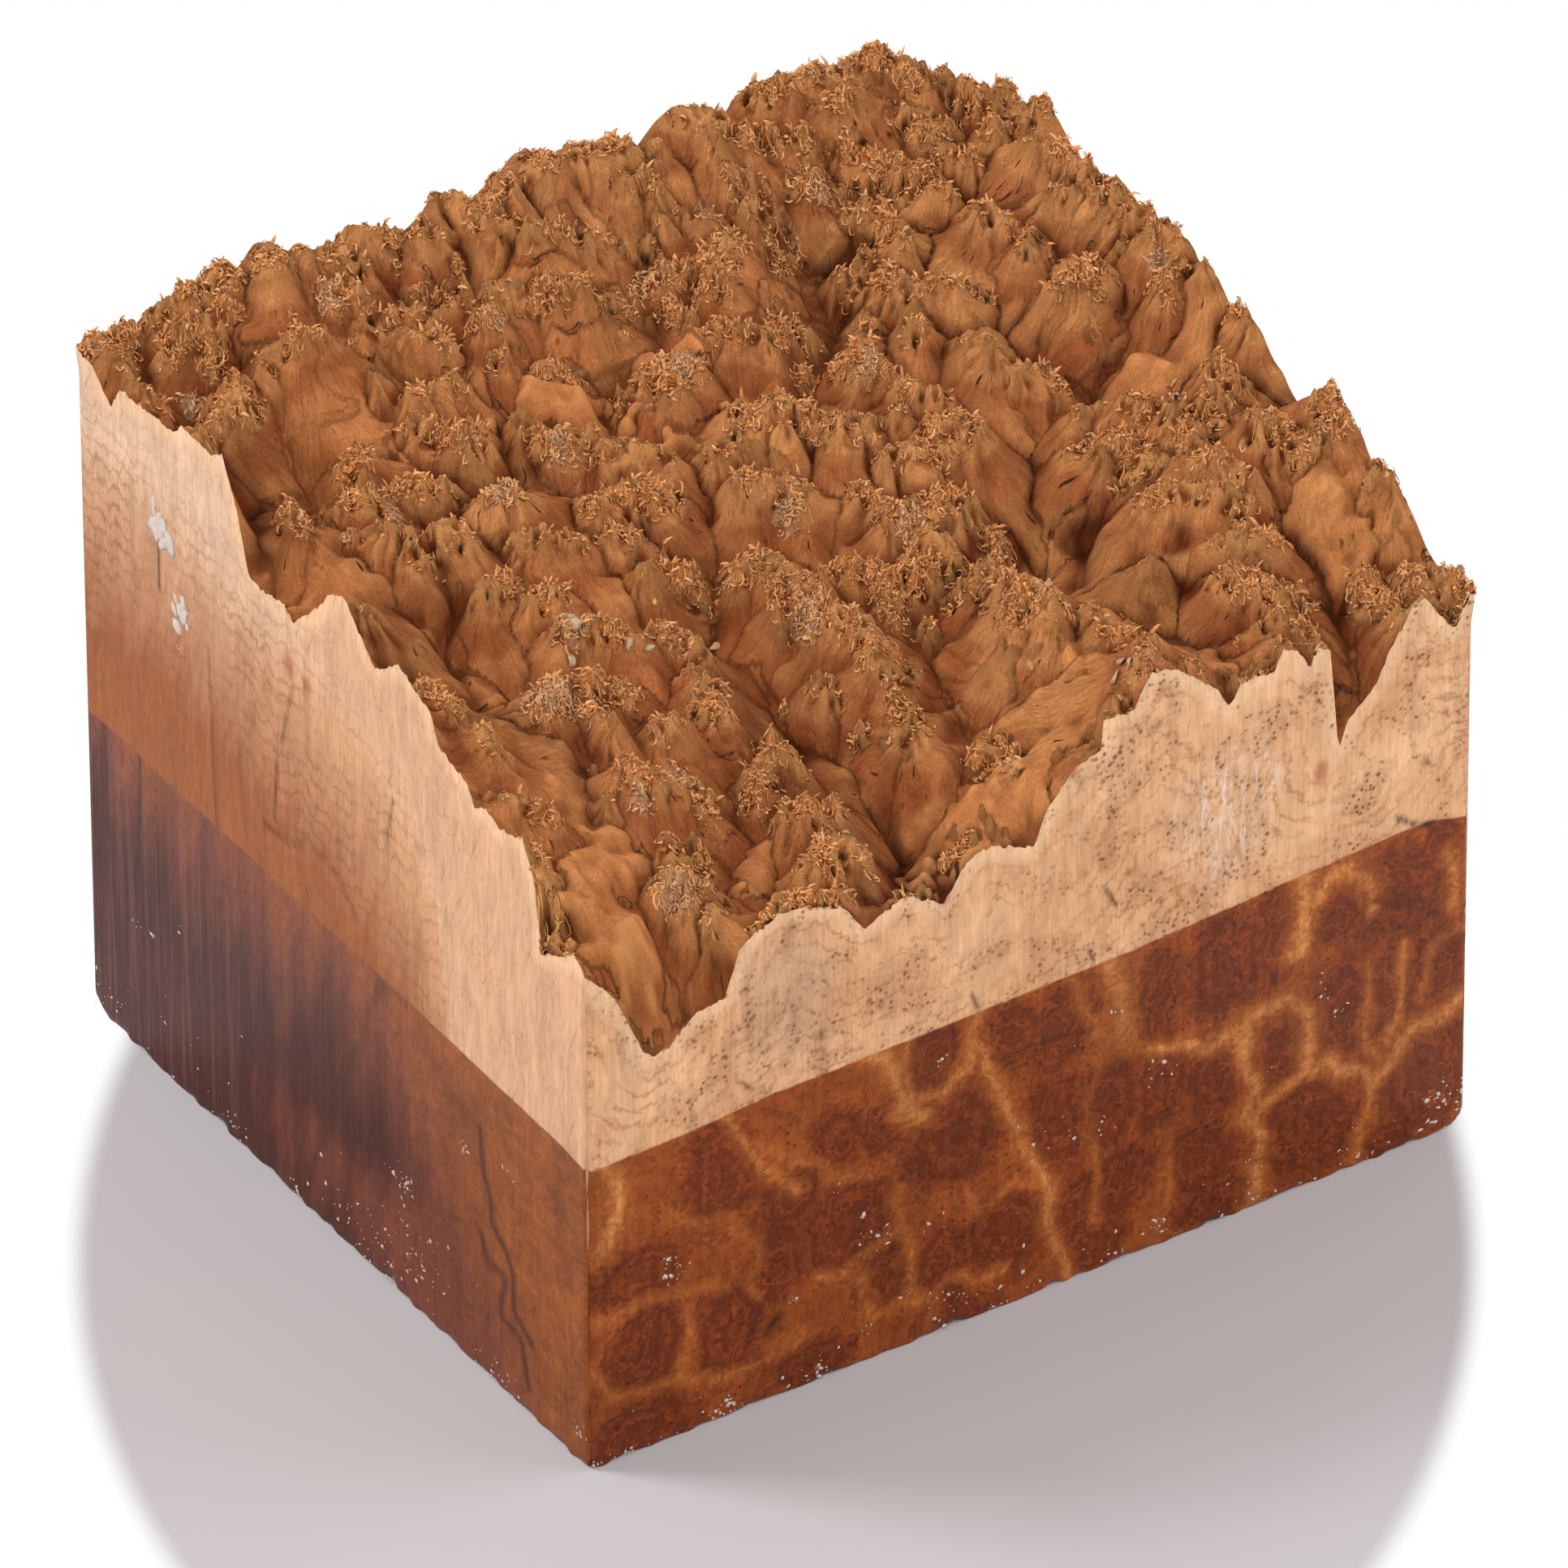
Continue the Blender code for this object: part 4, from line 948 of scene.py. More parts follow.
def raw_wood(add, looks, place, upright, tilted, curl, cloud):
    """Colour of the raw wood above the wax: pale, with growth lines, pores, stains and scratches.

    Mallee's pores are 0.1 to 0.2 mm wide, and are drawn several times as wide so that they show.
    """
    left = add(FIELD, "left_face")
    below = add(FIELD, "below_outline")
    tan_depth = add(FIELD, "tan_depth")
    smeared = add(MAPPING, place, (1.0, 1.0, 0.22))

    wood = add(OVER, add(RANGE, cloud, 0.35, 0.65, 0.0, 1.0), looks.raw_light, looks.raw_warm)
    wood = add(OVER, left, wood, looks.raw_pink)
    wood = add(OVER, add(FIELD, "warmth"), wood, looks.raw_warm)
    pore_field = add(RANGE, add(NOISE, place, per_metre(9), 4.0, 0.65, 0.5), 0.46, 0.6, 0.0, 0.85)
    cluster = add(MULTIPLY, pore_field, add(RANGE, left, 0.0, 1.0, 0.36, 0.1))
    wood = add(OVER, cluster, wood, looks.raw_line)
    bend = add(MULTIPLY_ADD, curl, 7.0, below)
    lines = add(SINE, add(MULTIPLY, bend, 2.1))
    line_share = add(MULTIPLY, add(RANGE, lines, 0.55, 1.0, 0.0, 1.0),
                     add(RANGE, add(NOISE, place, per_metre(10), 3.0), 0.4, 0.6, 0.0, 0.55))
    line_share = add(MULTIPLY, line_share, add(RANGE, left, 0.0, 1.0, 1.0, 0.12))
    wood = add(OVER, line_share, wood, looks.raw_line)
    rim = add(MULTIPLY_ADD, curl, 2.4, below)
    wood = add(OVER, add(RANGE, rim, 2.2, 4.4, 0.75, 0.0), wood, looks.raw_rim)

    tan_noise = add(MULTIPLY_ADD, add(NOISE, tilted, per_metre(5), 4.0, 0.65), 24.0, tan_depth)
    wood = add(OVER, add(RANGE, tan_noise, 3.0, 40.0, 0.0, 1.0), wood, looks.raw_tan)

    column = add(NOISE, upright, per_metre(6), 2.0)
    height = add(HEIGHT, place)
    phase = add(MULTIPLY_ADD, height, GROWTH_LINES, add(MULTIPLY, column, 16.0))
    waves = add(SINE, add(MULTIPLY_ADD, curl, 12.0, phase))
    wave_share = add(MULTIPLY, add(RANGE, waves, 0.4, 1.0, 0.0, 0.7),
                     add(RANGE, tan_depth, -22.0, 0.0, 0.0, 0.75))
    wave_share = add(MULTIPLY, wave_share, add(RANGE, cloud, 0.36, 0.54, 0.15, 1.0))
    wood = add(OVER, wave_share, wood, looks.raw_wave)

    grain_noise = add(NOISE, place, per_metre(1.4), 3.0)
    pores = add(CELLS, place, per_metre(1.1))
    pore_size = add(RANGE, grain_noise, 0.3, 0.65, 0.14, 0.58)
    pore_gap = add(DIVIDE, pores, pore_size)
    pore_share = add(MULTIPLY, add(RANGE, pore_gap, 0.5, 1.0, 1.0, 0.0), pore_field)
    pore_share = add(MULTIPLY, pore_share, add(RANGE, left, 0.0, 1.0, 1.0, 0.25))
    wood = add(OVER, pore_share, wood, looks.pore)
    wood = add(OVER, add(FIELD, "mould"), wood, looks.mould)
    frost = add(NOISE, smeared, per_metre(1.2), 4.0, 0.7)
    frost = add(MULTIPLY, add(FIELD, "frost"), add(RANGE, frost, 0.48, 0.62, 0.0, 0.9))
    wood = add(OVER, frost, wood, looks.frost)
    wood = add(OVER, add(FIELD, "stain"), wood, looks.stain)

    scratch = add(NOISE, tilted, per_metre(0.8), 3.0, 0.7)
    scratch_share = add(MULTIPLY, add(RANGE, scratch, 0.58, 0.7, 0.0, 0.6), left)
    scratch_share = add(MULTIPLY, scratch_share, add(RANGE, cloud, 0.42, 0.6, 0.15, 1.0))
    wood = add(OVER, scratch_share, wood, looks.raw_line)
    mottle = add(NOISE, smeared, per_metre(2.6), 5.0, 0.68, 0.6)
    wood = add(TONE, wood, add(RANGE, mottle, 0.34, 0.62, 0.84, 1.08))
    grit = add(NOISE, smeared, per_metre(0.6), 3.0, 0.7)
    return add(TONE, wood, add(RANGE, grit, 0.3, 0.5, 0.85, 1.02))


def waxed_wood(add, looks, place, upright, tilted, curl, cloud):
    """Colour of the waxed wood: rust with dark eyes in a honey net, and orange to dark heart on the left."""
    left = add(FIELD, "left_face")
    eye = add(FIELD, "eye")
    net = add(FIELD, "honey_net")
    heart_depth = add(FIELD, "heart_depth")
    red_depth = add(FIELD, "red_depth")
    swirl = add(NOISE, place, per_metre(3.2), 5.0, 0.68, 2.6)
    fleck = add(NOISE, place, per_metre(0.8), 3.0, 0.65, 0.8)

    eye_place = add(MULTIPLY_ADD, swirl, 1.0, eye)
    eye_place = add(MULTIPLY_ADD, curl, 1.5, add(SUBTRACT, eye_place, 0.95))
    spread = add(RANGE, eye_place, 0.25, 2.05, 0.0, 1.0)
    wood = set_stops(add(STOPS, spread), (0.0, looks.eye_dark), (0.14, looks.eye_brown),
                     (0.24, looks.eye_dark), (0.34, looks.wax_rust), (0.46, looks.eye_dark),
                     (0.58, looks.eye_brown), (0.74, looks.wax_rust), (0.86, looks.wax_light),
                     (1.0, looks.wax_rust))
    rings = add(SINE, add(MULTIPLY, eye_place, 30.0))
    wood = add(TONE, wood, add(RANGE, rings, -1.0, 1.0, 0.9, 1.08))
    pinholes = add(CELLS, place, per_metre(PINHOLE_SPACING))
    speck_field = add(RANGE, add(NOISE, place, per_metre(8), 3.0), 0.44, 0.56, 0.0, 0.85)
    specks = add(MULTIPLY, add(RANGE, pinholes, 0.1, 0.3, 1.0, 0.0), speck_field)
    wood = add(OVER, specks, wood, looks.speck)
    net_noise = add(MULTIPLY, net, add(RANGE, cloud, 0.3, 0.6, 0.75, 1.1))
    net_noise = add(MULTIPLY, net_noise, add(RANGE, swirl, 0.36, 0.6, 0.75, 1.12))
    wood = add(OVER, add(RANGE, net_noise, 0.03, 0.55, 0.0, 0.85), wood, looks.honey)
    wood = add(OVER, add(RANGE, net_noise, 0.5, 1.0, 0.0, 0.75), wood, looks.honey_light)

    orange = add(OVER, add(RANGE, curl, 0.36, 0.62, 0.0, 0.6), looks.wax_orange, looks.wax_brown)
    wood = add(OVER, left, wood, orange)
    jagged = add(NOISE, upright, per_metre(4.5), 3.0, 0.55)
    slant = add(NOISE, tilted, per_metre(6), 4.0, 0.65)
    drift = add(MULTIPLY_ADD, add(ADD, jagged, slant), 38.0, -38.0)
    red_share = add(RANGE, add(ADD, red_depth, drift), -10.0, 16.0, 0.0, 0.85)
    wood = add(OVER, red_share, wood, looks.wax_red)
    heart_share = add(RANGE, add(ADD, heart_depth, drift), -7.0, 15.0, 0.0, 0.95)
    wood = add(OVER, heart_share, wood, looks.heartwood)
    stripe = add(NOISE, upright, per_metre(1.1), 1.0)
    stripe_share = add(MULTIPLY, add(RANGE, stripe, 0.5, 0.7, 0.0, 0.35), add(FIELD, "stripes"))
    wood = add(OVER, stripe_share, wood, looks.stripe)
    wood = add(OVER, add(FIELD, "vein"), wood, looks.vein)
    for noise, low, high, dark, light in ((swirl, 0.32, 0.66, 0.78, 1.2), (cloud, 0.36, 0.64, 0.88, 1.12),
                                          (fleck, 0.3, 0.5, 0.72, 1.05)):
        wood = add(TONE, wood, add(RANGE, noise, low, high, dark, light))
    return wood


def sawn_wood_material(looks):
    """Sawn mallee, raw above and dipped in wax below: one surface cut by a band saw.

    The raw wood is pale and matt with upright saw lines. The wax darkens the wood below its line, brings out
    its figure and gives it a soft gloss.
    """
    material, add = new_material("sawn mallee, half waxed")
    place = add(PLACE)
    upright = add(MAPPING, place, (1.0, 1.0, 0.03))
    turned = add(MAPPING, place, (1.0, 1.0, 1.0), (GRAIN_TILT, 0.0, 0.0))
    tilted = add(MAPPING, turned, (1.0, 1.0, 0.06))
    curl = add(NOISE, place, per_metre(6), 5.0, 0.62, 1.6)
    cloud = add(NOISE, place, per_metre(22), 5.0, 0.62, 0.8)
    saw = add(NOISE, upright, per_metre(1.1))
    fine_saw = add(NOISE, upright, per_metre(0.4), 2.0)

    raw = raw_wood(add, looks, place, upright, tilted, curl, cloud)
    raw = add(TONE, raw, add(RANGE, saw, 0.32, 0.68, 0.96, 1.04))
    raw = add(TONE, raw, add(RANGE, fine_saw, 0.32, 0.68, 0.93, 1.05))
    waxed = waxed_wood(add, looks, place, upright, tilted, curl, cloud)
    waxed = add(TONE, waxed, add(RANGE, saw, 0.32, 0.68, 0.88, 1.1))
    line = add(MULTIPLY_ADD, curl, 0.8, add(FIELD, "wax_gap"))
    wax_share = add(RANGE, line, 0.2, 0.6, 1.0, 0.0)
    wood = add(OVER, wax_share, raw, waxed)
    wood = add(OVER, add(FIELD, "mark"), wood, looks.crack)

    saw_height = add(ADD, saw, fine_saw)
    bump = add(BUMP, saw_height, 0.5, 0.00012)
    roughness = add(RANGE, wax_share, 0.0, 1.0, 0.8, 0.42)
    shader = add(PRINCIPLED, wood, roughness, 0.16, bump)
    return finished(material, shader)


def frayed_fibre_material(looks):
    """Loose dried fibres of the burl skin: matt, brown at the root in painted shade and straw at the tip in
    painted light, each a bit apart.
    """
    material, add = new_material("frayed burl fibre")
    tone = set_stops(add(STOPS, add(FIELD, "shade")), (0.0, looks.fibre_dark_and_root_shade), (0.4, looks.fibre_middle),
                     (0.85, looks.fibre_light_and_tip_light), (1.0, looks.tip_grey))
    place = add(PLACE)
    mottle = add(NOISE, place, per_metre(3), 3.0)
    fibre = add(TONE, tone, add(RANGE, mottle, 0.3, 0.7, 0.78, 1.16))
    shader = add(PRINCIPLED, fibre, 0.85, 0.15)
    return finished(material, shader)


def bark_material(looks):
    """Old bark and crust: flaky and dry, from grey through pale to straw."""
    material, add = new_material("flaked bark crust")
    place = add(PLACE)
    scurf = add(NOISE, place, per_metre(0.7))
    tone = set_stops(add(STOPS, add(FIELD, "shade")), (0.0, looks.tip_grey), (0.5, looks.bark_pale),
                     (1.0, looks.bark_straw))
    flaked = add(TONE, tone, add(RANGE, scurf, 0.3, 0.7, 0.6, 1.15))
    bump = add(BUMP, scurf, 0.8, 0.0003)
    shader = add(PRINCIPLED, flaked, 0.85, 0.08, bump)
    return finished(material, shader)


def wax_material(looks):
    """Paraffin wax, scuffed: a milky, half-clear skin with a soft gloss."""
    material, add = new_material("scuffed paraffin wax")
    place = add(PLACE)
    scuff = add(NOISE, place, per_metre(1.2))
    wax = add(OVER, scuff, looks.wax_milky, looks.wax_white)
    bump = add(BUMP, scuff, 0.5, 0.0002)
    shader = add(PRINCIPLED, wax, 0.42, 0.3, bump, also={"IOR": 1.44, "Subsurface Weight": 0.15,
                                                         "Subsurface Radius": (0.001, 0.0008, 0.0006)})
    return finished(material, shader)


def put_in_scene(name, data):
    """A new object of some data, linked into the scene."""
    item = bpy.data.objects.new(name, data)
    bpy.context.scene.collection.objects.link(item)
    return item


def make_piece(name, vertices, faces, material, attributes):
    """A mesh object on the burl's body from arrays in metres; faces is a list of arrays of vertex numbers."""
    mesh = bpy.data.meshes.new(name)
    counts = np.concatenate([np.full(len(part), part.shape[1]) for part in faces])
    corners = np.concatenate([part.reshape(-1) for part in faces])
    mesh.vertices.add(len(vertices))
    mesh.vertices.foreach_set("co", np.ascontiguousarray(vertices, dtype=np.float32).reshape(-1))
    mesh.loops.add(len(corners))
    mesh.loops.foreach_set("vertex_index", corners.astype(np.int32))
    mesh.polygons.add(len(counts))
    mesh.polygons.foreach_set("loop_start", (np.cumsum(counts) - counts).astype(np.int32))
    mesh.polygons.foreach_set("use_smooth", np.full(len(counts), True))
    mesh.update(calc_edges=True)
    for title, values in attributes.items():
        kind = "FLOAT_VECTOR" if values.ndim == 2 else "FLOAT"
        layer = mesh.attributes.new(title, kind, "POINT")
        layer.data.foreach_set("vector" if values.ndim == 2 else "value",
                               np.ascontiguousarray(values, dtype=np.float32).reshape(-1))
    mesh.materials.append(material)
    if mesh.validate():
        raise RuntimeError("the mesh of " + name + " had faults")
    piece = put_in_scene(name, mesh)
    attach(piece, "root")
    return piece


def to_frame(x, y, z):
    """Positions in metres in the block's frame from plan positions and heights, kept in the solid's box."""
    x = np.clip(x, BOX_MARGIN, WIDTH - BOX_MARGIN)
    y = np.clip(y, BOX_MARGIN, DEPTH - BOX_MARGIN)
    z = np.clip(z, 0, TOP - BOX_MARGIN)
    return np.stack([x * MM + BLOCK_LOW[0], y * MM + BLOCK_LOW[1], z * MM + BLOCK_LOW[2]], axis=-1)


FACES = {}


def burl_face(sizes):
    """The burl face at the chosen fineness, worked out once."""
    key = (sizes.columns, sizes.rows)
    if key not in FACES:
        FACES[key] = BurlFace(*key)
    return FACES[key]


def take_off_corner(x, y, z, corner, size):
    """Push vertices near a bottom corner in along its diagonal, onto the plane that cuts the corner off."""
    out_x = np.abs(x - corner[0]) / size
    out_y = np.abs(y - corner[1]) / size
    missing = np.clip(1 - out_x - out_y - z / size, 0, 1) / 3 * size
    turn_x = 1 if corner[0] == 0 else -1
    turn_y = 1 if corner[1] == 0 else -1
    return x + missing * turn_x, y + missing * turn_y, z + missing


def side_rings(face):
    """Rings of points round the sides, from the lip to the base: evenly spaced above the wax and below it."""
    i, j = rim_walk(face.x.shape[0] - 1, face.x.shape[1] - 1, 2)
    rim_x, rim_y, rim_z = face.x[i, j], face.y[i, j], face.height[i, j]
    upper = np.linspace(0, 1, RAW_LEVELS + 1)[:, None]
    lower = np.linspace(0, 1, WAXED_LEVELS + 1)[1:, None]
    z = np.concatenate([rim_z + (LEVEL_CHANGE - rim_z) * upper, LEVEL_CHANGE * (1 - lower) + 0 * rim_z])
    x = np.broadcast_to(rim_x, z.shape).copy()
    y = np.broadcast_to(rim_y, z.shape).copy()
    return x, y, z


def pull_in(x, y, amount):
    """Plan positions moved in from the rectangle's sides by an amount, those inside it left alone."""
    return np.clip(x, amount, WIDTH - amount), np.clip(y, amount, DEPTH - amount)


def spot_field(along, height, spots):
    """Share of the nearest soft oval spot: middle, level, half width, half height, strength."""
    field = np.zeros(along.shape)
    for middle, level, half_width, half_height, strength in spots:
        distance = np.hypot((along - middle) / half_width, (height - level) / half_height)
        field = np.maximum(field, strength * ease(1.4 - distance, 0, 1))
    return field


def wall_fields(x, y, z):
    """What the sawn wood's material reads at points of the sides.

    These are the eyes, the honey net, marks, veins and stains, and how far a point lies under the lines where
    the left face turns tan, red and dark. The back face carries the left face's heartwood on.
    """
    front = y <= 0
    left = (x <= 0) & ~front
    right = (x >= WIDTH) & ~front & ~left
    back = ~(front | left | right)
    fields = {title: np.full(x.shape, float(value)) for title, value in PLAIN_WALL.items()}
    wax_line = np.full(x.shape, LEVEL_CHANGE)
    for face, place, outline, wax, marks, stains in (
            (front, x, FRONT_OUTLINE, FRONT_WAX_LINE, FRONT_MARKS, RED_STAINS["front"]),
            (left, y, LEFT_OUTLINE, LEFT_WAX_LINE, LEFT_MARKS, RED_STAINS["left"])):
        along, height = place[face], z[face]
        spots = [(middle, level, radius, radius * STAIN_TALL, STAIN_STRENGTH)
                 for middle, level, radius in stains]
        fields["stain"][face] = spot_field(along, height, spots)
        fields["mark"][face] = line_field(along, height, marks)
        fields["below_outline"][face] = distance_to_line(along, height, outline)
        wax_line[face] = height_of(wax, along)

    along, height = x[front], z[front]
    bent_x = along + layered(along, height, BEND_ACROSS)
    bent_z = height + layered(along, height, BEND_UP)
    fields["honey_net"][front] = line_field(bent_x, bent_z, FRONT_NET, NET_WIDENING)
    fields["eye"][front] = eye_fields(bent_x, bent_z, FRONT_EYES)
    fields["frost"][front] = spot_field(along, height, FROST_SPOTS)
    fields["mould"][front] = spot_field(along, height, MOULD_SPOTS)

    along, height = y[left], z[left]
    fields["vein"][left] = line_field(along, height, LEFT_VEINS)
    for title, line in (("tan_depth", TAN_LINE), ("heart_depth", HEART_LINE), ("red_depth", RED_LINE)):
        fields[title][left] = height_of(line, along) - height
    # the heart fades out towards the base, and is whole again at the back edge
    fields["heart_depth"][left] -= 34 * ease(26 - height, 0, 16) * ease(130 - along, 0, 60)
    near_tan = ease(fields["tan_depth"][left], -14, 6)
    fields["warmth"][left] = np.clip(0.6 * ease(105 - along, 0, 40) + 0.6 * near_tan, 0, 0.85)
    fields["stripes"][left] = ease(along, 88, 104)
    fields["left_face"][left] = 1.0

    fields["eye"][right] = eye_fields(y[right], z[right], scattered_eyes(DEPTH, 21))
    fields["eye"][back] = eye_fields(x[back], z[back], scattered_eyes(WIDTH, 22))
    from_left = x[back]
    fields["left_face"][back] = 1 - ease(from_left, 50, 110)
    fields["tan_depth"][back] = 100 - 0.6 * from_left - z[back]
    fields["heart_depth"][back] = 57 - 0.6 * np.maximum(from_left - 50, 0) - z[back]
    fields["red_depth"][back] = 62 - 0.6 * np.maximum(from_left - 65, 0) - z[back]
    fields["stripes"][back] = 1 - ease(from_left, 20, 60)
    fields["wax_gap"] = z - wax_line
    return fields


def ring_faces(rings):
    """Quads between neighbouring rings of vertex numbers, facing out where the rings run down the outside."""
    after = np.roll(rings, -1, axis=1)
    return np.stack([rings[:-1], rings[1:], after[1:], after[:-1]], -1).reshape(-1, 4)


def fan_faces(ring, centre, turned=False):
    """Triangles between a ring and a centre."""
    after = np.roll(ring, -1)
    middle = np.full(len(ring), centre)
    return np.stack([middle, ring, after] if turned else [middle, after, ring], -1)


def hex_colour(name, description, code):
    """A setting that holds an sRGB hex colour."""
    return bpy.props.StringProperty(name=name, description=description, default=code)


def whole_number(name, description, default, least=1):
    """A setting that holds a whole number."""
    return bpy.props.IntProperty(name=name, description=description, default=default, min=least)


def measure(name, description, default, unit="LENGTH"):
    """A setting that holds a length in metres, a power in watts or, with no unit, a plain number."""
    return bpy.props.FloatProperty(name=name, description=description, default=default, unit=unit)


class BlankSizes(bpy.types.PropertyGroup):
    """How finely the block is worked out, and how much fraying it gets."""

    columns: whole_number("Columns", "Cells of the burl face from left to right", 320, 20)
    rows: whole_number("Rows", "Cells of the burl face from front to back", 284, 20)
    corner_chip: measure("Corner chip", "Size of the bottom corners' chips", 0.0045)
    fibre_count: whole_number("Fibres", "Loose fibres in each group", 10500)
    fibre_length: measure("Fibre length", "Mean length of a loose fibre", 0.0016)
    fibre_radius: measure("Fibre radius", "Mean radius of a loose fibre", 0.00019)
    thorn_count: whole_number("Hooked tufts", "Hooked tufts on the crests", 3600)


class BlankLooks(bpy.types.PropertyGroup):
    """Colours of the wood, the burl skin and the wax, as sRGB hex codes."""

    skin_light: hex_colour("Skin", "Burl skin in the light", "#DC9358")
    skin_warm: hex_colour("Warm skin", "Warmer patches", "#C87A46")
    # painted shade of the burl skin in hollows
    skin_hollow_shade: hex_colour("Deep skin", "Burl skin in hollows", "#5A280F")
    skin_russet: hex_colour("Russet skin", "Rubbed patches", "#924120")
    # the frayed crests' colour, and also the painted highlight of ridges and of crumb tops
    fray_light_and_highlight: hex_colour("Frayed", "Frayed crests", "#EEA766")
    # painted shade between the crumbs of frayed crests, and the frayed skin's darker colour
    fray_shade: hex_colour("Frayed shade", "Between frays", "#88411C")
    tip_grey: hex_colour("Weathered tips", "Grey tips", "#CDA07C")
    # darker weathering, and painted shade between the grey crumbs
    tip_dark_and_shade: hex_colour("Dark weathering", "Between the grey", "#7C5034")
    crack: hex_colour("Cracks", "Cracks and pits", "#2A1509")
    # light fibres, and the painted light at the fibres' tips
    fibre_light_and_tip_light: hex_colour("Light fibre", "Tips of fibres", "#F6B87C")
    fibre_middle: hex_colour("Fibre", "Most fibres", "#D08448")
    # dark fibres, and the painted shade at the fibres' roots
    fibre_dark_and_root_shade: hex_colour("Dark fibre", "Roots of fibres", "#7A3F1A")
    bark_straw: hex_colour("Straw bark", "Straw-coloured bark", "#DDB06C")
    bark_pale: hex_colour("Pale bark", "Pale bark", "#D8B898")
    raw_light: hex_colour("Raw wood", "Raw sawn wood", "#F0BC90")
    raw_warm: hex_colour("Warm raw wood", "Its warmer parts", "#DDA478")
    raw_line: hex_colour("Growth lines", "Thin lines", "#A9714A")
    raw_wave: hex_colour("Wavy lines", "Lines in the tan wood", "#9A5C38")
    raw_pink: hex_colour("Pink raw wood", "Left face", "#E6BEA0")
    raw_tan: hex_colour("Tan raw wood", "Near the heart", "#A3623E")
    raw_rim: hex_colour("Rim", "Sapwood under the skin", "#F4C69C")
    pore: hex_colour("Pores", "Open pores", "#7C4A2C")
    mould: hex_colour("Grey wash", "Mouldy raw wood", "#9C8778")
    frost: hex_colour("Frost", "Frosted saw marks", "#EBDCD0")
    stain: hex_colour("Stain", "Reddish stains", "#B25A3E")
    speck: hex_colour("Specks", "Pinholes in waxed wood", "#4A1A0A")
    eye_dark: hex_colour("Eye", "Middle of a waxed eye", "#66290F")
    eye_brown: hex_colour("Eye brown", "Round the middle", "#7A3714")
    wax_rust: hex_colour("Waxed rust", "Waxed wood", "#8A3F16")
    wax_light: hex_colour("Light waxed wood", "Between eyes", "#974D1D")
    wax_orange: hex_colour("Waxed orange", "Left, waxed", "#9E5622")
    wax_brown: hex_colour("Waxed brown", "Left, figure", "#7A3A18")
    wax_red: hex_colour("Waxed red", "Beside the heart", "#743A28")
    honey: hex_colour("Honey", "Net between the eyes", "#AC5F29")
    honey_light: hex_colour("Light honey", "Wedges", "#CC8549")
    heartwood: hex_colour("Heartwood", "Dark heart", "#481C14")
    stripe: hex_colour("Saw stripes", "Pale stripes", "#744A46")
    vein: hex_colour("Vein", "Gum veins", "#4A2013")
    wax_white: hex_colour("White wax", "Scuffed wax", "#E6DCD2")
    wax_milky: hex_colour("Milky wax", "Thin wax", "#BFA190")


class StageSettings(bpy.types.PropertyGroup):
    """The floor, the lights and the world."""

    floor_size: measure("Floor", "Side of the floor", 8.0)
    # painted shadow: the grey of the floor's oval pool before the block
    floor_shadow: hex_colour("Near floor", "Floor by the block", "#C6C1C3")
    floor_far: hex_colour("Far floor", "Floor further off", "#FFFFFF")
    # half sizes of the painted shadow's oval pool
    shadow_pool_across: measure("Pool across", "Half width of the grey pool", 0.1066)
    shadow_pool_deep: measure("Pool deep", "Half depth of the grey pool", 0.151)
    sky: measure("Sky", "Strength of the light from all round", 0.42, "NONE")
    key_power: measure("Key", "Power of the soft main light", 12.5, "POWER")
    rake_power: measure("Rake", "Power of the light across the burl", 11.0, "POWER")
    fill_power: measure("Fill", "Power of the fill light", 8.0, "POWER")


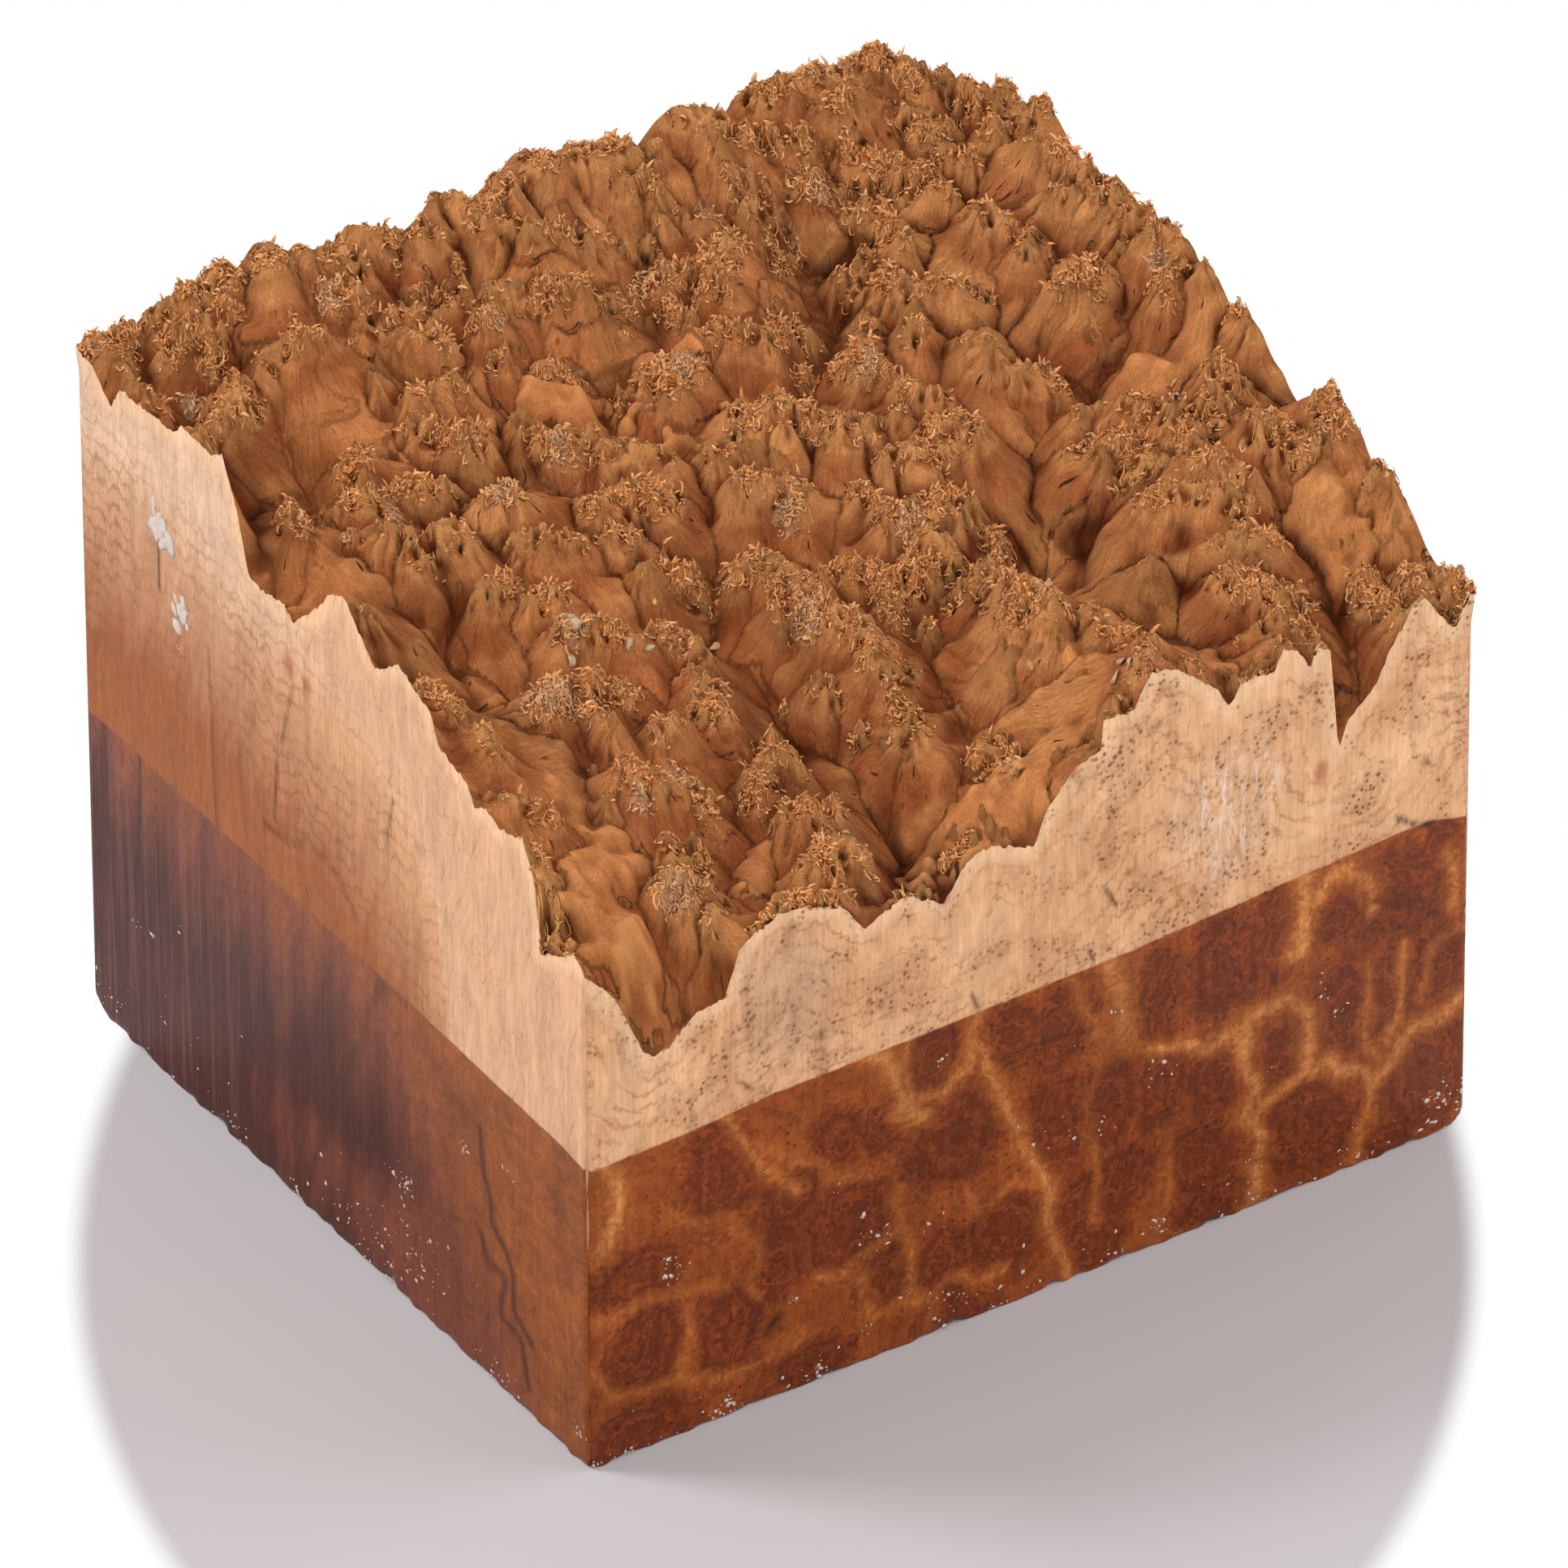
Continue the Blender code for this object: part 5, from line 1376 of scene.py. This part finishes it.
class BURL_OT_crown(bpy.types.Operator):
    """Build the natural burl face and the wood just under it"""

    bl_idname = "burl.crown"
    bl_label = "Burl crown"

    def execute(self, context):
        sizes = context.scene.burl_sizes
        face = burl_face(sizes)
        columns, rows = sizes.columns, sizes.rows
        i, j = rim_walk(columns, rows)
        top_x, top_y = pull_in(face.x, face.y, WALL_INSET)
        tuck_x, tuck_y = pull_in(face.x[i, j], face.y[i, j], CROWN_INSET)
        tucked = to_frame(tuck_x, tuck_y, face.height[i, j] - CROWN_TUCK)
        foot = to_frame(tuck_x, tuck_y, np.full(len(i), CROWN_FOOT))
        middle = to_frame(np.array([WIDTH / 2]), np.array([DEPTH / 2]), np.array([CROWN_FOOT]))
        top = to_frame(top_x, top_y, face.height).reshape(-1, 3)
        vertices = np.concatenate([top, tucked, foot, middle])

        cell = np.arange(len(top)).reshape(columns + 1, rows + 1)
        top_faces = np.stack([cell[:-1, :-1], cell[1:, :-1], cell[1:, 1:], cell[:-1, 1:]], -1).reshape(-1, 4)
        below = np.arange(2 * len(i)).reshape(2, len(i)) + len(top)
        rings = np.concatenate([cell[i, j][None], below])
        faces = [top_faces, ring_faces(rings), fan_faces(rings[-1], len(vertices) - 1)]
        attributes = {}
        for title, values in self.skin_fields(face).items():
            rest = np.zeros((2 * len(i) + 1,) + values.shape[1:])
            attributes[title] = np.concatenate([values, rest])
        crown = make_piece("burl_crown", vertices, faces, burl_skin_material(context.scene.burl_looks),
                           attributes)
        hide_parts("burl_blank")
        return {"FINISHED"}

    def skin_fields(self, face):
        """What the skin's material reads: fibre flow, fray, crease gap, painted shade of hollows, painted
        highlight of ridges, weathered caps and pits.
        """
        depth = general_lie(face.x, face.y) + 1.5 - face.form
        grey = weathering(face.x, face.y)
        stray = np.random.default_rng(41).random(len(CREST_LINES))[face.owner]
        cap = ease(stray, 0.75, 0.8) * ease(1.4 - face.run, -0.4, 0.6) * 0.6
        foot = ease(face.run, 0.6 * face.breadth, face.breadth) * ease(2.2 * face.breadth - face.run, 0, 3)
        flow = np.stack([face.flow_x, face.flow_y, face.run * 0.16 + face.owner * 1.7], -1)
        wide = smoothed(smoothed(face.height, 5, 5), 5, 5) - face.height
        narrow = smoothed(smoothed(face.height, 1, 1), 1, 1) - face.height
        # painted shade: how sunk a point is, below the general lie and below its neighbours
        painted_hollow_shade = 0.5 * ease(depth, 0.5, 8.0) + 0.9 * ease(wide, -0.4, 2.2) + 0.4 * ease(narrow, 0.05, 0.5)
        # painted highlight: how far a point stands above its neighbours
        raised = ease(-wide, 0.5, 2.6) + 0.6 * ease(-narrow, 0.1, 0.5)
        fields = {"fray": face.fray, "crease": face.crease, "hollow": np.clip(painted_hollow_shade, 0, 1),
                  "ridge": np.clip(raised, 0, 1), "weathered": np.maximum(grey, cap), "crest_foot": foot,
                  "pit": face.pit, "crumb": face.crumb}
        flat = {title: values.reshape(-1) for title, values in fields.items()}
        return {"fibre_flow": flow.reshape(-1, 3), **flat}


class BURL_OT_sides(bpy.types.Operator):
    """Build the sawn sides and base, worn at the edges"""

    bl_idname = "burl.sides"
    bl_label = "Sawn sides"

    def execute(self, context):
        sizes = context.scene.burl_sizes
        x, y, z = side_rings(burl_face(sizes))
        fields = wall_fields(x, y, z)
        chip = sizes.corner_chip / MM
        worn_x, worn_y, worn_z = take_off_corner(x, y, z, (0, DEPTH), chip)
        worn_x, worn_y, worn_z = take_off_corner(worn_x, worn_y, worn_z, (WIDTH, 0), chip * 0.8)
        wear = 0.5 + 0.5 * wander(x + 0.4 * z, y + 0.4 * z, 2.2, 31)
        chips = ease(wander(x + z, y + z, 3.1, 32), 0.2, 0.8)
        edge = np.exp(-z / 0.7) + 1.6 * chips * np.exp(-z / 1.4)
        upright = (np.minimum(x, WIDTH - x) < 0.6) & (np.minimum(y, DEPTH - y) < 0.6)
        corner_wear = upright * (0.25 + 0.5 * wear) * ease(z[0] - z, 1, 6)
        pull = WALL_INSET + 0.5 * edge * wear + corner_wear
        lift = 0.5 * wear * np.exp(-z / 0.9)
        worn_x, worn_y = pull_in(worn_x, worn_y, pull)
        outer = to_frame(worn_x, worn_y, worn_z + lift)

        tray_x, tray_y = pull_in(x[0], y[0], TRAY_INSET)
        tuck = to_frame(tray_x, tray_y, z[0] - TRAY_TUCK)
        floor = to_frame(tray_x, tray_y, np.full(z[0].shape, TRAY_FLOOR))
        foot_x, foot_y = pull_in(x[0], y[0], 5.0)
        foot = to_frame(foot_x, foot_y, np.zeros(z[0].shape))
        middles = to_frame(np.full(2, WIDTH / 2), np.full(2, DEPTH / 2), np.array([0.0, TRAY_FLOOR]))
        rings = np.concatenate([floor[None], tuck[None], outer, foot[None]])
        vertices = np.concatenate([rings.reshape(-1, 3), middles])
        numbers = np.arange(rings.shape[0] * rings.shape[1]).reshape(rings.shape[:2])
        under = fan_faces(numbers[-1], len(vertices) - 2)
        inside = fan_faces(numbers[0], len(vertices) - 1, turned=True)
        attributes = {}
        for title, values in fields.items():
            attributes[title] = np.concatenate([values[0], values[0], values.reshape(-1), values[-1],
                                                [0.0, 0.0]])
        sides = make_piece("sawn_sides", vertices, [ring_faces(numbers), under, inside],
                           sawn_wood_material(context.scene.burl_looks), attributes)
        self.mark_sharp_edges(sides.data, numbers, x[0], y[0])
        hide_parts("burl_blank")
        return {"FINISHED"}

    def mark_sharp_edges(self, mesh, numbers, x, y):
        """Sharp edges along the lip, down the four corners and round the base."""
        ends = np.empty(len(mesh.edges) * 2, np.int32)
        mesh.edges.foreach_get("vertices", ends)
        ends = ends.reshape(-1, 2)
        group = np.zeros(len(mesh.vertices), np.int64)
        group[numbers[2]] |= 1
        group[numbers[-2]] |= 2
        corners = np.flatnonzero(((x == 0) | (x == WIDTH)) & ((y == 0) | (y == DEPTH)))
        for number, corner in enumerate(corners):
            group[numbers[:, corner]] |= 4 << number
        layer = mesh.attributes.new("sharp_edge", "BOOLEAN", "EDGE")
        layer.data.foreach_set("value", (group[ends[:, 0]] & group[ends[:, 1]]) > 0)


def weathering(x, y):
    """Share of grey weathering at plan positions: 1 in the middle of a weathered place, fading at its rim."""
    grey = np.zeros(x.shape)
    for middle_x, middle_y, radius in GREY_PLACES:
        distance = np.hypot(x - middle_x, y - middle_y) / radius
        grey = np.maximum(grey, ease(1.5 - distance, 0, 1))
    return grey


def roots_on_crests(face, rng, count, spread):
    """Grid places for fibres and thorns: likelier on frayed parts, and thinning out away from the crests."""
    clump = 0.15 + ease(wander(face.x, face.y, 3.1, 24), -0.3, 0.5)
    frayed = face.fray * clump + WEATHERED_SHARE * weathering(face.x, face.y)
    near_crest = np.maximum(face.tuft, np.exp(-face.run / spread))
    weight = (frayed * (STRAY_SHARE + near_crest)).reshape(-1)
    chosen = rng.choice(weight.size, count, p=weight / weight.sum())
    x = face.x.reshape(-1)[chosen] + rng.uniform(-0.5, 0.5, count) * face.cell_x
    y = face.y.reshape(-1)[chosen] + rng.uniform(-0.5, 0.5, count) * face.cell_y
    slope_x, slope_y = np.gradient(face.form, face.cell_x, face.cell_y)
    return x, y, slope_x.reshape(-1)[chosen], slope_y.reshape(-1)[chosen]


def fibre_paths(face, count, seed, length, upright):
    """Paths of loose fibres: each starts on a frayed part, curls tightly and lifts towards its tip.

    Returns points of shape (count, 5, 3) in millimetres. The heading starts at random and turns steadily, by
    two to five radians over the whole fibre. The height above the surface is a small arch plus a lift that
    grows along the fibre.
    """
    rng = np.random.default_rng(seed)
    x, y, slope_x, slope_y = roots_on_crests(face, rng, count, 3.0)
    downhill = np.arctan2(-slope_y, -slope_x)
    heading = downhill + rng.normal(0, 1.0, count)
    turn = rng.uniform(2.5, 6.0, count) * rng.choice([-1, 1], count)
    reach = length * rng.uniform(0.5, 1.6, count)
    lift = upright * rng.random(count) ** 2
    arch = rng.uniform(0.1, 0.7, count)
    points = []
    for step in np.linspace(0, 1, 5):
        ground = face.sample(face.height, x, y)
        height = ground - 0.1 + arch * np.sin(np.pi * step) + lift * step
        points.append(np.stack([x, y, height], -1))
        angle = heading + turn * step
        x = x + reach / 4 * np.cos(angle)
        y = y + reach / 4 * np.sin(angle)
    return np.stack(points, 1)


def thorn_paths(face, count, seed):
    """Paths of hooked tufts: each stands up from a crest, leans away from it and hooks over at its tip.

    Returns points of shape (count, 5, 3) in millimetres. The lean grows along the tuft, so it goes up by the
    cosine and out by the sine of an angle that grows steadily.
    """
    rng = np.random.default_rng(seed)
    x, y, slope_x, slope_y = roots_on_crests(face, rng, count, 1.6)
    height = face.sample(face.height, x, y) - 0.25
    heading = np.arctan2(-slope_y, -slope_x) + rng.normal(0, 0.9, count)
    tall = rng.uniform(0.6, 1.6, count) + 1.6 * rng.random(count) ** 4
    hook = rng.uniform(0.8, 3.4, count)
    points = []
    for step in np.linspace(0, 1, 5):
        points.append(np.stack([x, y, height], -1))
        lean = 0.25 + hook * step
        x = x + tall / 4 * np.sin(lean) * np.cos(heading)
        y = y + tall / 4 * np.sin(lean) * np.sin(heading)
        height = height + tall / 4 * np.cos(lean)
    return np.stack(points, 1)


# Girths of a tube's three inner rings and how flat it is, for loose fibres and for hooked tufts
FIBRE_PROFILE = (1.0, 1.0, 0.7)
FIBRE_FLATNESS = 0.45
HOOK_PROFILE = (1.0, 0.8, 0.5)
HOOK_FLATNESS = 0.7
TUBE_POINTS = 11


def fibre_tubes(points, radius, profile, flatness):
    """Three-sided tubes along the paths, closed to a point at both ends: 11 points and 18 triangles each.

    The profile gives the girth of the three inner rings. The flatness thins a tube across its side.
    """
    count = len(points)
    inner = points[:, 1:4]
    tangent = points[:, 2:5] - points[:, 0:3]
    tangent /= np.maximum(np.linalg.norm(tangent, axis=-1, keepdims=True), 1e-9)
    side = np.cross(tangent, np.array([0.31, -0.17, 0.93]))
    side /= np.maximum(np.linalg.norm(side, axis=-1, keepdims=True), 1e-9)
    over = np.cross(side, tangent) * flatness
    girth = radius[:, None, None] * np.array(profile)[None, :, None]
    corners = []
    for angle in (0.5 * np.pi, 7 / 6 * np.pi, 11 / 6 * np.pi):
        corners.append(inner + girth * (np.cos(angle) * side + np.sin(angle) * over))
    rings = np.stack(corners, 2).reshape(count, 9, 3)
    vertices = np.concatenate([points[:, :1], rings, points[:, 4:]], 1)
    shape = []
    for corner in range(3):
        following = (corner + 1) % 3
        shape.append((0, 1 + following, 1 + corner))
        shape.append((10, 7 + corner, 7 + following))
        for ring in (1, 4):
            shape.append((ring + corner, ring + following, ring + 3 + following))
            shape.append((ring + corner, ring + 3 + following, ring + 3 + corner))
    faces = (np.array(shape)[None] + TUBE_POINTS * np.arange(count)[:, None, None]).reshape(-1, 3)
    return vertices.reshape(-1, 3), faces


def shaded_root_lit_tip(low, high, rng, count):
    """Shade of each tube's points: painted shade at the root, painted light towards the tip, and each tube
    its own.
    """
    rise = np.array([0.0] + [0.35] * 3 + [0.7] * 3 + [0.95] * 3 + [1.0])
    own = rng.uniform(low, high, count)
    return (own[:, None] * (0.45 + 0.55 * rise)[None, :]).reshape(-1)


class BURL_OT_fibres(bpy.types.Operator):
    """Fray the crests with curling fibres and hooked tufts"""

    bl_idname = "burl.fibres"
    bl_label = "Frayed fibres"

    def execute(self, context):
        sizes = context.scene.burl_sizes
        face = burl_face(sizes)
        material = frayed_fibre_material(context.scene.burl_looks)
        count = sizes.fibre_count
        for name, seed, length_share, upright in FIBRE_GROUPS:
            rng = np.random.default_rng(seed + 100)
            paths = fibre_paths(face, count, seed, sizes.fibre_length / MM * length_share, upright)
            radius = sizes.fibre_radius / MM * (0.5 + 1.2 * rng.random(count) ** 2)
            vertices, faces = fibre_tubes(paths, radius, FIBRE_PROFILE, FIBRE_FLATNESS)
            # painted shade at the fibres' roots and painted light at their tips
            shade = shaded_root_lit_tip(0.35, 1.0, rng, count)
            grey = weathering(paths[:, 0, 0], paths[:, 0, 1]) > rng.random(count)
            shade = np.where(np.repeat(grey, TUBE_POINTS), 0.8 + 0.25 * shade, shade)
            make_piece(name, to_frame(*vertices.T), [faces], material, {"shade": shade})
        rng = np.random.default_rng(153)
        count = sizes.thorn_count
        vertices, faces = fibre_tubes(thorn_paths(face, count, 53), rng.uniform(0.25, 0.5, count),
                                      HOOK_PROFILE, HOOK_FLATNESS)
        # the hooked tufts get the same painted shade at the root and painted light at the tip
        make_piece("hooked_tufts", to_frame(*vertices.T), [faces], material,
                   {"shade": shaded_root_lit_tip(0.45, 0.95, rng, count)})
        return {"FINISHED"}


def flake(length, breadth, thickness, bend, lobes, seed):
    """A thin closed lens with a ragged oval rim, bent like a saddle; its flat side is down.

    The rim is an ellipse whose radius wanders, raised by bend times the cosine of twice the angle.
    """
    rng = np.random.default_rng(seed)
    angle = np.arange(lobes) / lobes * 2 * np.pi
    radius = rng.uniform(0.65, 1.15, lobes)
    rim = np.stack([length / 2 * radius * np.cos(angle), breadth / 2 * radius * np.sin(angle),
                    bend * np.cos(2 * angle + rng.uniform(0, 6))], -1)
    inner = rim * np.array([0.55, 0.55, 0.3]) + np.array([0, 0, thickness * 0.7])
    under = rim * np.array([0.6, 0.6, 0.3]) - np.array([0, 0, thickness * 0.3])
    vertices = np.concatenate([rim, inner, under, [[0, 0, thickness]], [[0, 0, -thickness * 0.4]]])
    faces = []
    for corner in range(lobes):
        following = (corner + 1) % lobes
        faces.append((corner, following, lobes + following))
        faces.append((corner, lobes + following, lobes + corner))
        faces.append((lobes + corner, lobes + following, 3 * lobes))
        faces.append((corner, 2 * lobes + following, following))
        faces.append((corner, 2 * lobes + corner, 2 * lobes + following))
        faces.append((2 * lobes + corner, 3 * lobes + 1, 2 * lobes + following))
    return vertices, np.array(faces)


def joined(parts):
    """One array of vertices and one of faces from pairs of them."""
    firsts = np.cumsum([0] + [len(vertices) for vertices, _ in parts[:-1]])
    return (np.concatenate([vertices for vertices, _ in parts]),
            np.concatenate([faces + first for (_, faces), first in zip(parts, firsts)]))


# Bits of bark: thickness, bend and lobes of their rims, the first of their seeds, and the shade of each kind
BARK_THICKNESS = 0.35
BARK_BEND = 0.25
BARK_LOBES = 9
BARK_SEED = 700
BARK_SHADES = {"straw": 1.0, "pale": 0.5, "grey": 0.0}


class BURL_OT_bark(bpy.types.Operator):
    """Set bits of old bark and grey crust on the burl"""

    bl_idname = "burl.bark"
    bl_label = "Bark and crust"

    def execute(self, context):
        face = burl_face(context.scene.burl_sizes)
        rng = np.random.default_rng(61)
        bits = list(BARK_BITS)
        for x, y, radius in GREY_PLACES:
            for _ in range(int(3 * radius)):
                bits.append((x + rng.normal(0, 0.6 * radius), y + rng.normal(0, 0.6 * radius),
                             rng.uniform(0.4, 1.0), rng.uniform(0.3, 0.7), rng.uniform(0, 360), "grey"))
        for x, y in self.stray_places(face, rng, 40):
            bits.append((x, y, rng.uniform(0.5, 1.5), rng.uniform(0.4, 1.0), rng.uniform(0, 360), "grey"))
        parts, shade = [], []
        for number, (x, y, length, breadth, turn, kind) in enumerate(bits):
            points, corners = flake(length, breadth, BARK_THICKNESS, BARK_BEND, BARK_LOBES,
                                    BARK_SEED + number)
            heading = Matrix.Rotation(math.radians(turn), 3, "Z")
            tilt = Matrix.Rotation(rng.uniform(-0.4, 0.4), 3, "X")
            tilt = tilt @ Matrix.Rotation(rng.uniform(-0.4, 0.4), 3, "Y")
            points = points @ np.array(self.lie_along(face, x, y) @ tilt @ heading).T
            parts.append((points + np.array([x, y, face.ground_at(face.height, x, y) + 0.2]), corners))
            shade.append(np.full(len(points), np.clip(BARK_SHADES[kind] + rng.uniform(-0.15, 0.15), 0, 1)))
        vertices, faces = joined(parts)
        x, y = pull_in(vertices[:, 0], vertices[:, 1], WALL_INSET)
        make_piece("bark_crust", to_frame(x, y, np.minimum(vertices[:, 2], TOP - 0.3)), [faces],
                   bark_material(context.scene.burl_looks), {"shade": np.concatenate(shade)})
        return {"FINISHED"}

    def stray_places(self, face, rng, count):
        """Places on the crest lines."""
        weight = (face.fray * np.exp(-face.run / 1.0)).reshape(-1)
        chosen = rng.choice(weight.size, count, p=weight / weight.sum())
        return zip(face.x.reshape(-1)[chosen], face.y.reshape(-1)[chosen])

    def lie_along(self, face, x, y):
        """Turn that lays a flat thing on the surface at a place."""
        step = 1.2
        spots_x = np.clip(np.array([x - step, x + step, x, x]), 0, WIDTH)
        spots_y = np.clip(np.array([y, y, y - step, y + step]), 0, DEPTH)
        heights = face.sample(face.form, spots_x, spots_y)
        normal = Vector((heights[0] - heights[1], heights[2] - heights[3], 2 * step)).normalized()
        return normal.to_track_quat("Z", "Y").to_matrix()


# Wax flecks and the bits of the milky patches: thickness, how near they come to a face's edges and to the
# floor, the bend and the lobes of their rims, and the first of their seeds
FLECK_THICKNESS = 0.12
PATCH_THICKNESS = 0.16
EDGE_MARGIN = 1.0
LEAST_LEVEL = 0.8
WAX_BEND = 0.02
WAX_LOBES = 8
WAX_SEED = 900


class BURL_OT_wax(bpy.types.Operator):
    """Scuff flecks and patches of white wax onto the sawn faces"""

    bl_idname = "burl.wax"
    bl_label = "Wax flecks"

    def execute(self, context):
        rng = np.random.default_rng(71)
        parts, spots = [], []
        for side, clusters in WAX_CLUSTERS.items():
            for along, level, spread, count in clusters:
                for _ in range(count):
                    size = 0.25 + 1.0 * rng.random() ** 2.5
                    spots.append((side, along + rng.normal(0, spread), level + rng.normal(0, spread * 0.7),
                                  size, size * rng.uniform(0.3, 0.9), FLECK_THICKNESS))
        for along, level, half_width, half_height in WAX_PATCHES:
            for _ in range(12):
                size = half_height * rng.uniform(0.5, 1.1)
                spots.append(("left", along + 0.45 * half_width * rng.normal(),
                              level + 0.4 * half_height * rng.normal(), size * rng.uniform(0.4, 0.8), size,
                              PATCH_THICKNESS))
        for number, (side, along, level, length, breadth, thickness) in enumerate(spots):
            limit = WIDTH if side == "front" else DEPTH
            if not (EDGE_MARGIN < along < limit - EDGE_MARGIN) or level < LEAST_LEVEL:
                along = min(max(along, EDGE_MARGIN), limit - EDGE_MARGIN)
                level = max(abs(level), LEAST_LEVEL)
            points, corners = flake(length, breadth, thickness, WAX_BEND, WAX_LOBES, WAX_SEED + number)
            turn = rng.uniform(-0.6, 0.6) if thickness == PATCH_THICKNESS else rng.uniform(0, np.pi)
            across = points[:, 0] * np.cos(turn) - points[:, 1] * np.sin(turn)
            up = np.maximum(points[:, 0] * np.sin(turn) + points[:, 1] * np.cos(turn) + level, 0.05)
            out = np.maximum(WALL_INSET - 0.02 - points[:, 2], 0.02)
            placed = (along + across, out, up) if side == "front" else (out, along - across, up)
            parts.append((np.stack(placed, -1), corners))
        vertices, faces = joined(parts)
        make_piece("wax_flecks", to_frame(*vertices.T), [faces], wax_material(context.scene.burl_looks), {})
        return {"FINISHED"}


class BURL_OT_stage(bpy.types.Operator):
    """Lay the floor, set the lights and place the camera"""

    bl_idname = "burl.stage"
    bl_label = "Stage"

    def execute(self, context):
        settings = context.scene.burl_stage
        context.scene.view_settings.view_transform = "Standard"
        self.lay_floor(settings)
        self.light_world(settings)
        self.hang_light("key light", settings.key_power, 1.0, (-0.75, -0.95, 1.35))
        self.hang_light("raking light", settings.rake_power, 0.4, (-0.85, 0.7, 1.15))
        self.hang_light("fill light", settings.fill_power, 1.2, (1.2, -0.6, 0.8))
        self.place_camera()
        return {"FINISHED"}

    def lay_floor(self, settings):
        """A pale floor: a painted shadow, grey in an oval pool before the block, and plain glowing white
        outside it.
        """
        half = settings.floor_size / 2
        mesh = bpy.data.meshes.new("floor")
        mesh.from_pydata([(-half, -half, 0), (half, -half, 0), (half, half, 0), (-half, half, 0)], [],
                         [(0, 1, 2, 3)])
        floor = put_in_scene("floor", mesh)
        material, add = new_material("matt pale paper")
        turned = add(MAPPING, add(PLACE), (settings.shadow_pool_across, settings.shadow_pool_deep, 1.0),
                     (0.0, 0.0, CAMERA_AZIMUTH), SHADOW_POOL_MIDDLE + (0.0,), also={"vector_type": "TEXTURE"})
        distance = add(("ShaderNodeVectorMath", (0,), {"operation": "LENGTH"}, "Value"), turned)
        fade = add(RANGE, distance, 0.97, 1.02, 0.0, 1.0, also={"interpolation_type": "SMOOTHSTEP"})
        # painted shadow: grey inside the pool, fading out to the glowing white
        painted_shadow = add(PRINCIPLED, settings.floor_shadow, 0.7, 0.1)
        white = add(("ShaderNodeEmission", ("Color", "Strength"), {}, 0), settings.floor_far, 1.0)
        shader = add(("ShaderNodeMixShader", (0, 1, 2), {}, 0), fade, painted_shadow, white)
        mesh.materials.append(finished(material, shader))

    def light_world(self, settings):
        """White light from all round."""
        world = bpy.data.worlds.new("studio")
        world.use_nodes = True
        background = world.node_tree.nodes["Background"]
        background.inputs["Color"].default_value = (1.0, 1.0, 1.0, 1.0)
        background.inputs["Strength"].default_value = settings.sky
        bpy.context.scene.world = world

    def hang_light(self, name, power, size, position):
        """A square soft light that faces the block."""
        data = bpy.data.lights.new(name, "AREA")
        data.energy = power
        data.size = size
        light = put_in_scene(name, data)
        light.location = position
        aim = Vector((0, 0, 0.06)) - Vector(position)
        light.rotation_euler = aim.to_track_quat("-Z", "Y").to_euler()

    def place_camera(self):
        """A long lens at the photograph's viewing angle."""
        back = Vector((math.sin(CAMERA_AZIMUTH) * math.cos(CAMERA_ELEVATION),
                       -math.cos(CAMERA_AZIMUTH) * math.cos(CAMERA_ELEVATION), math.sin(CAMERA_ELEVATION)))
        right = Vector((0, 0, 1)).cross(back).normalized()
        up = back.cross(right)
        target = Vector((0, 0, AIM_HEIGHT)) + right * AIM_RIGHT + up * AIM_UP
        rolled_right = right * math.cos(CAMERA_ROLL) + up * math.sin(CAMERA_ROLL)
        rolled_up = up * math.cos(CAMERA_ROLL) - right * math.sin(CAMERA_ROLL)
        data = bpy.data.cameras.new("camera")
        data.lens = CAMERA_LENS
        data.sensor_width = CAMERA_SENSOR
        data.clip_end = 50.0
        camera = put_in_scene("camera", data)
        turn = Matrix((rolled_right, rolled_up, back)).transposed()
        camera.matrix_world = Matrix.Translation(target + back * CAMERA_DISTANCE) @ turn.to_4x4()
        bpy.context.scene.camera = camera


class BURL_PT_panel(bpy.types.Panel):
    """Lists the pieces and their settings"""

    bl_idname = "BURL_PT_panel"
    bl_label = "Burl turning blank"
    bl_space_type = "VIEW_3D"
    bl_region_type = "UI"
    bl_category = "Burl"

    def draw(self, context):
        layout = self.layout
        for operator in OPERATORS:
            layout.operator(operator.bl_idname)
        for title in SETTINGS:
            group = getattr(context.scene, title)
            box = layout.box()
            for name in group.bl_rna.properties.keys():
                if name not in {"rna_type", "name"}:
                    box.prop(group, name)


OPERATORS = (BURL_OT_crown, BURL_OT_sides, BURL_OT_fibres, BURL_OT_bark, BURL_OT_wax, BURL_OT_stage)
SETTINGS = {"burl_sizes": BlankSizes, "burl_looks": BlankLooks, "burl_stage": StageSettings}


def register():
    """Register the settings, the operators and the panel."""
    for title, group in SETTINGS.items():
        bpy.utils.register_class(group)
        setattr(bpy.types.Scene, title, bpy.props.PointerProperty(type=group))
    for operator in OPERATORS:
        bpy.utils.register_class(operator)
    bpy.utils.register_class(BURL_PT_panel)


def unregister():
    """Take them all away again."""
    bpy.utils.unregister_class(BURL_PT_panel)
    for operator in reversed(OPERATORS):
        bpy.utils.unregister_class(operator)
    for title, group in SETTINGS.items():
        delattr(bpy.types.Scene, title)
        bpy.utils.unregister_class(group)


def main():
    """Build every piece in order."""
    register()
    bpy.ops.burl.crown()
    bpy.ops.burl.sides()
    bpy.ops.burl.fibres()
    bpy.ops.burl.bark()
    bpy.ops.burl.wax()
    bpy.ops.burl.stage()


if __name__ == "__main__":
    main()
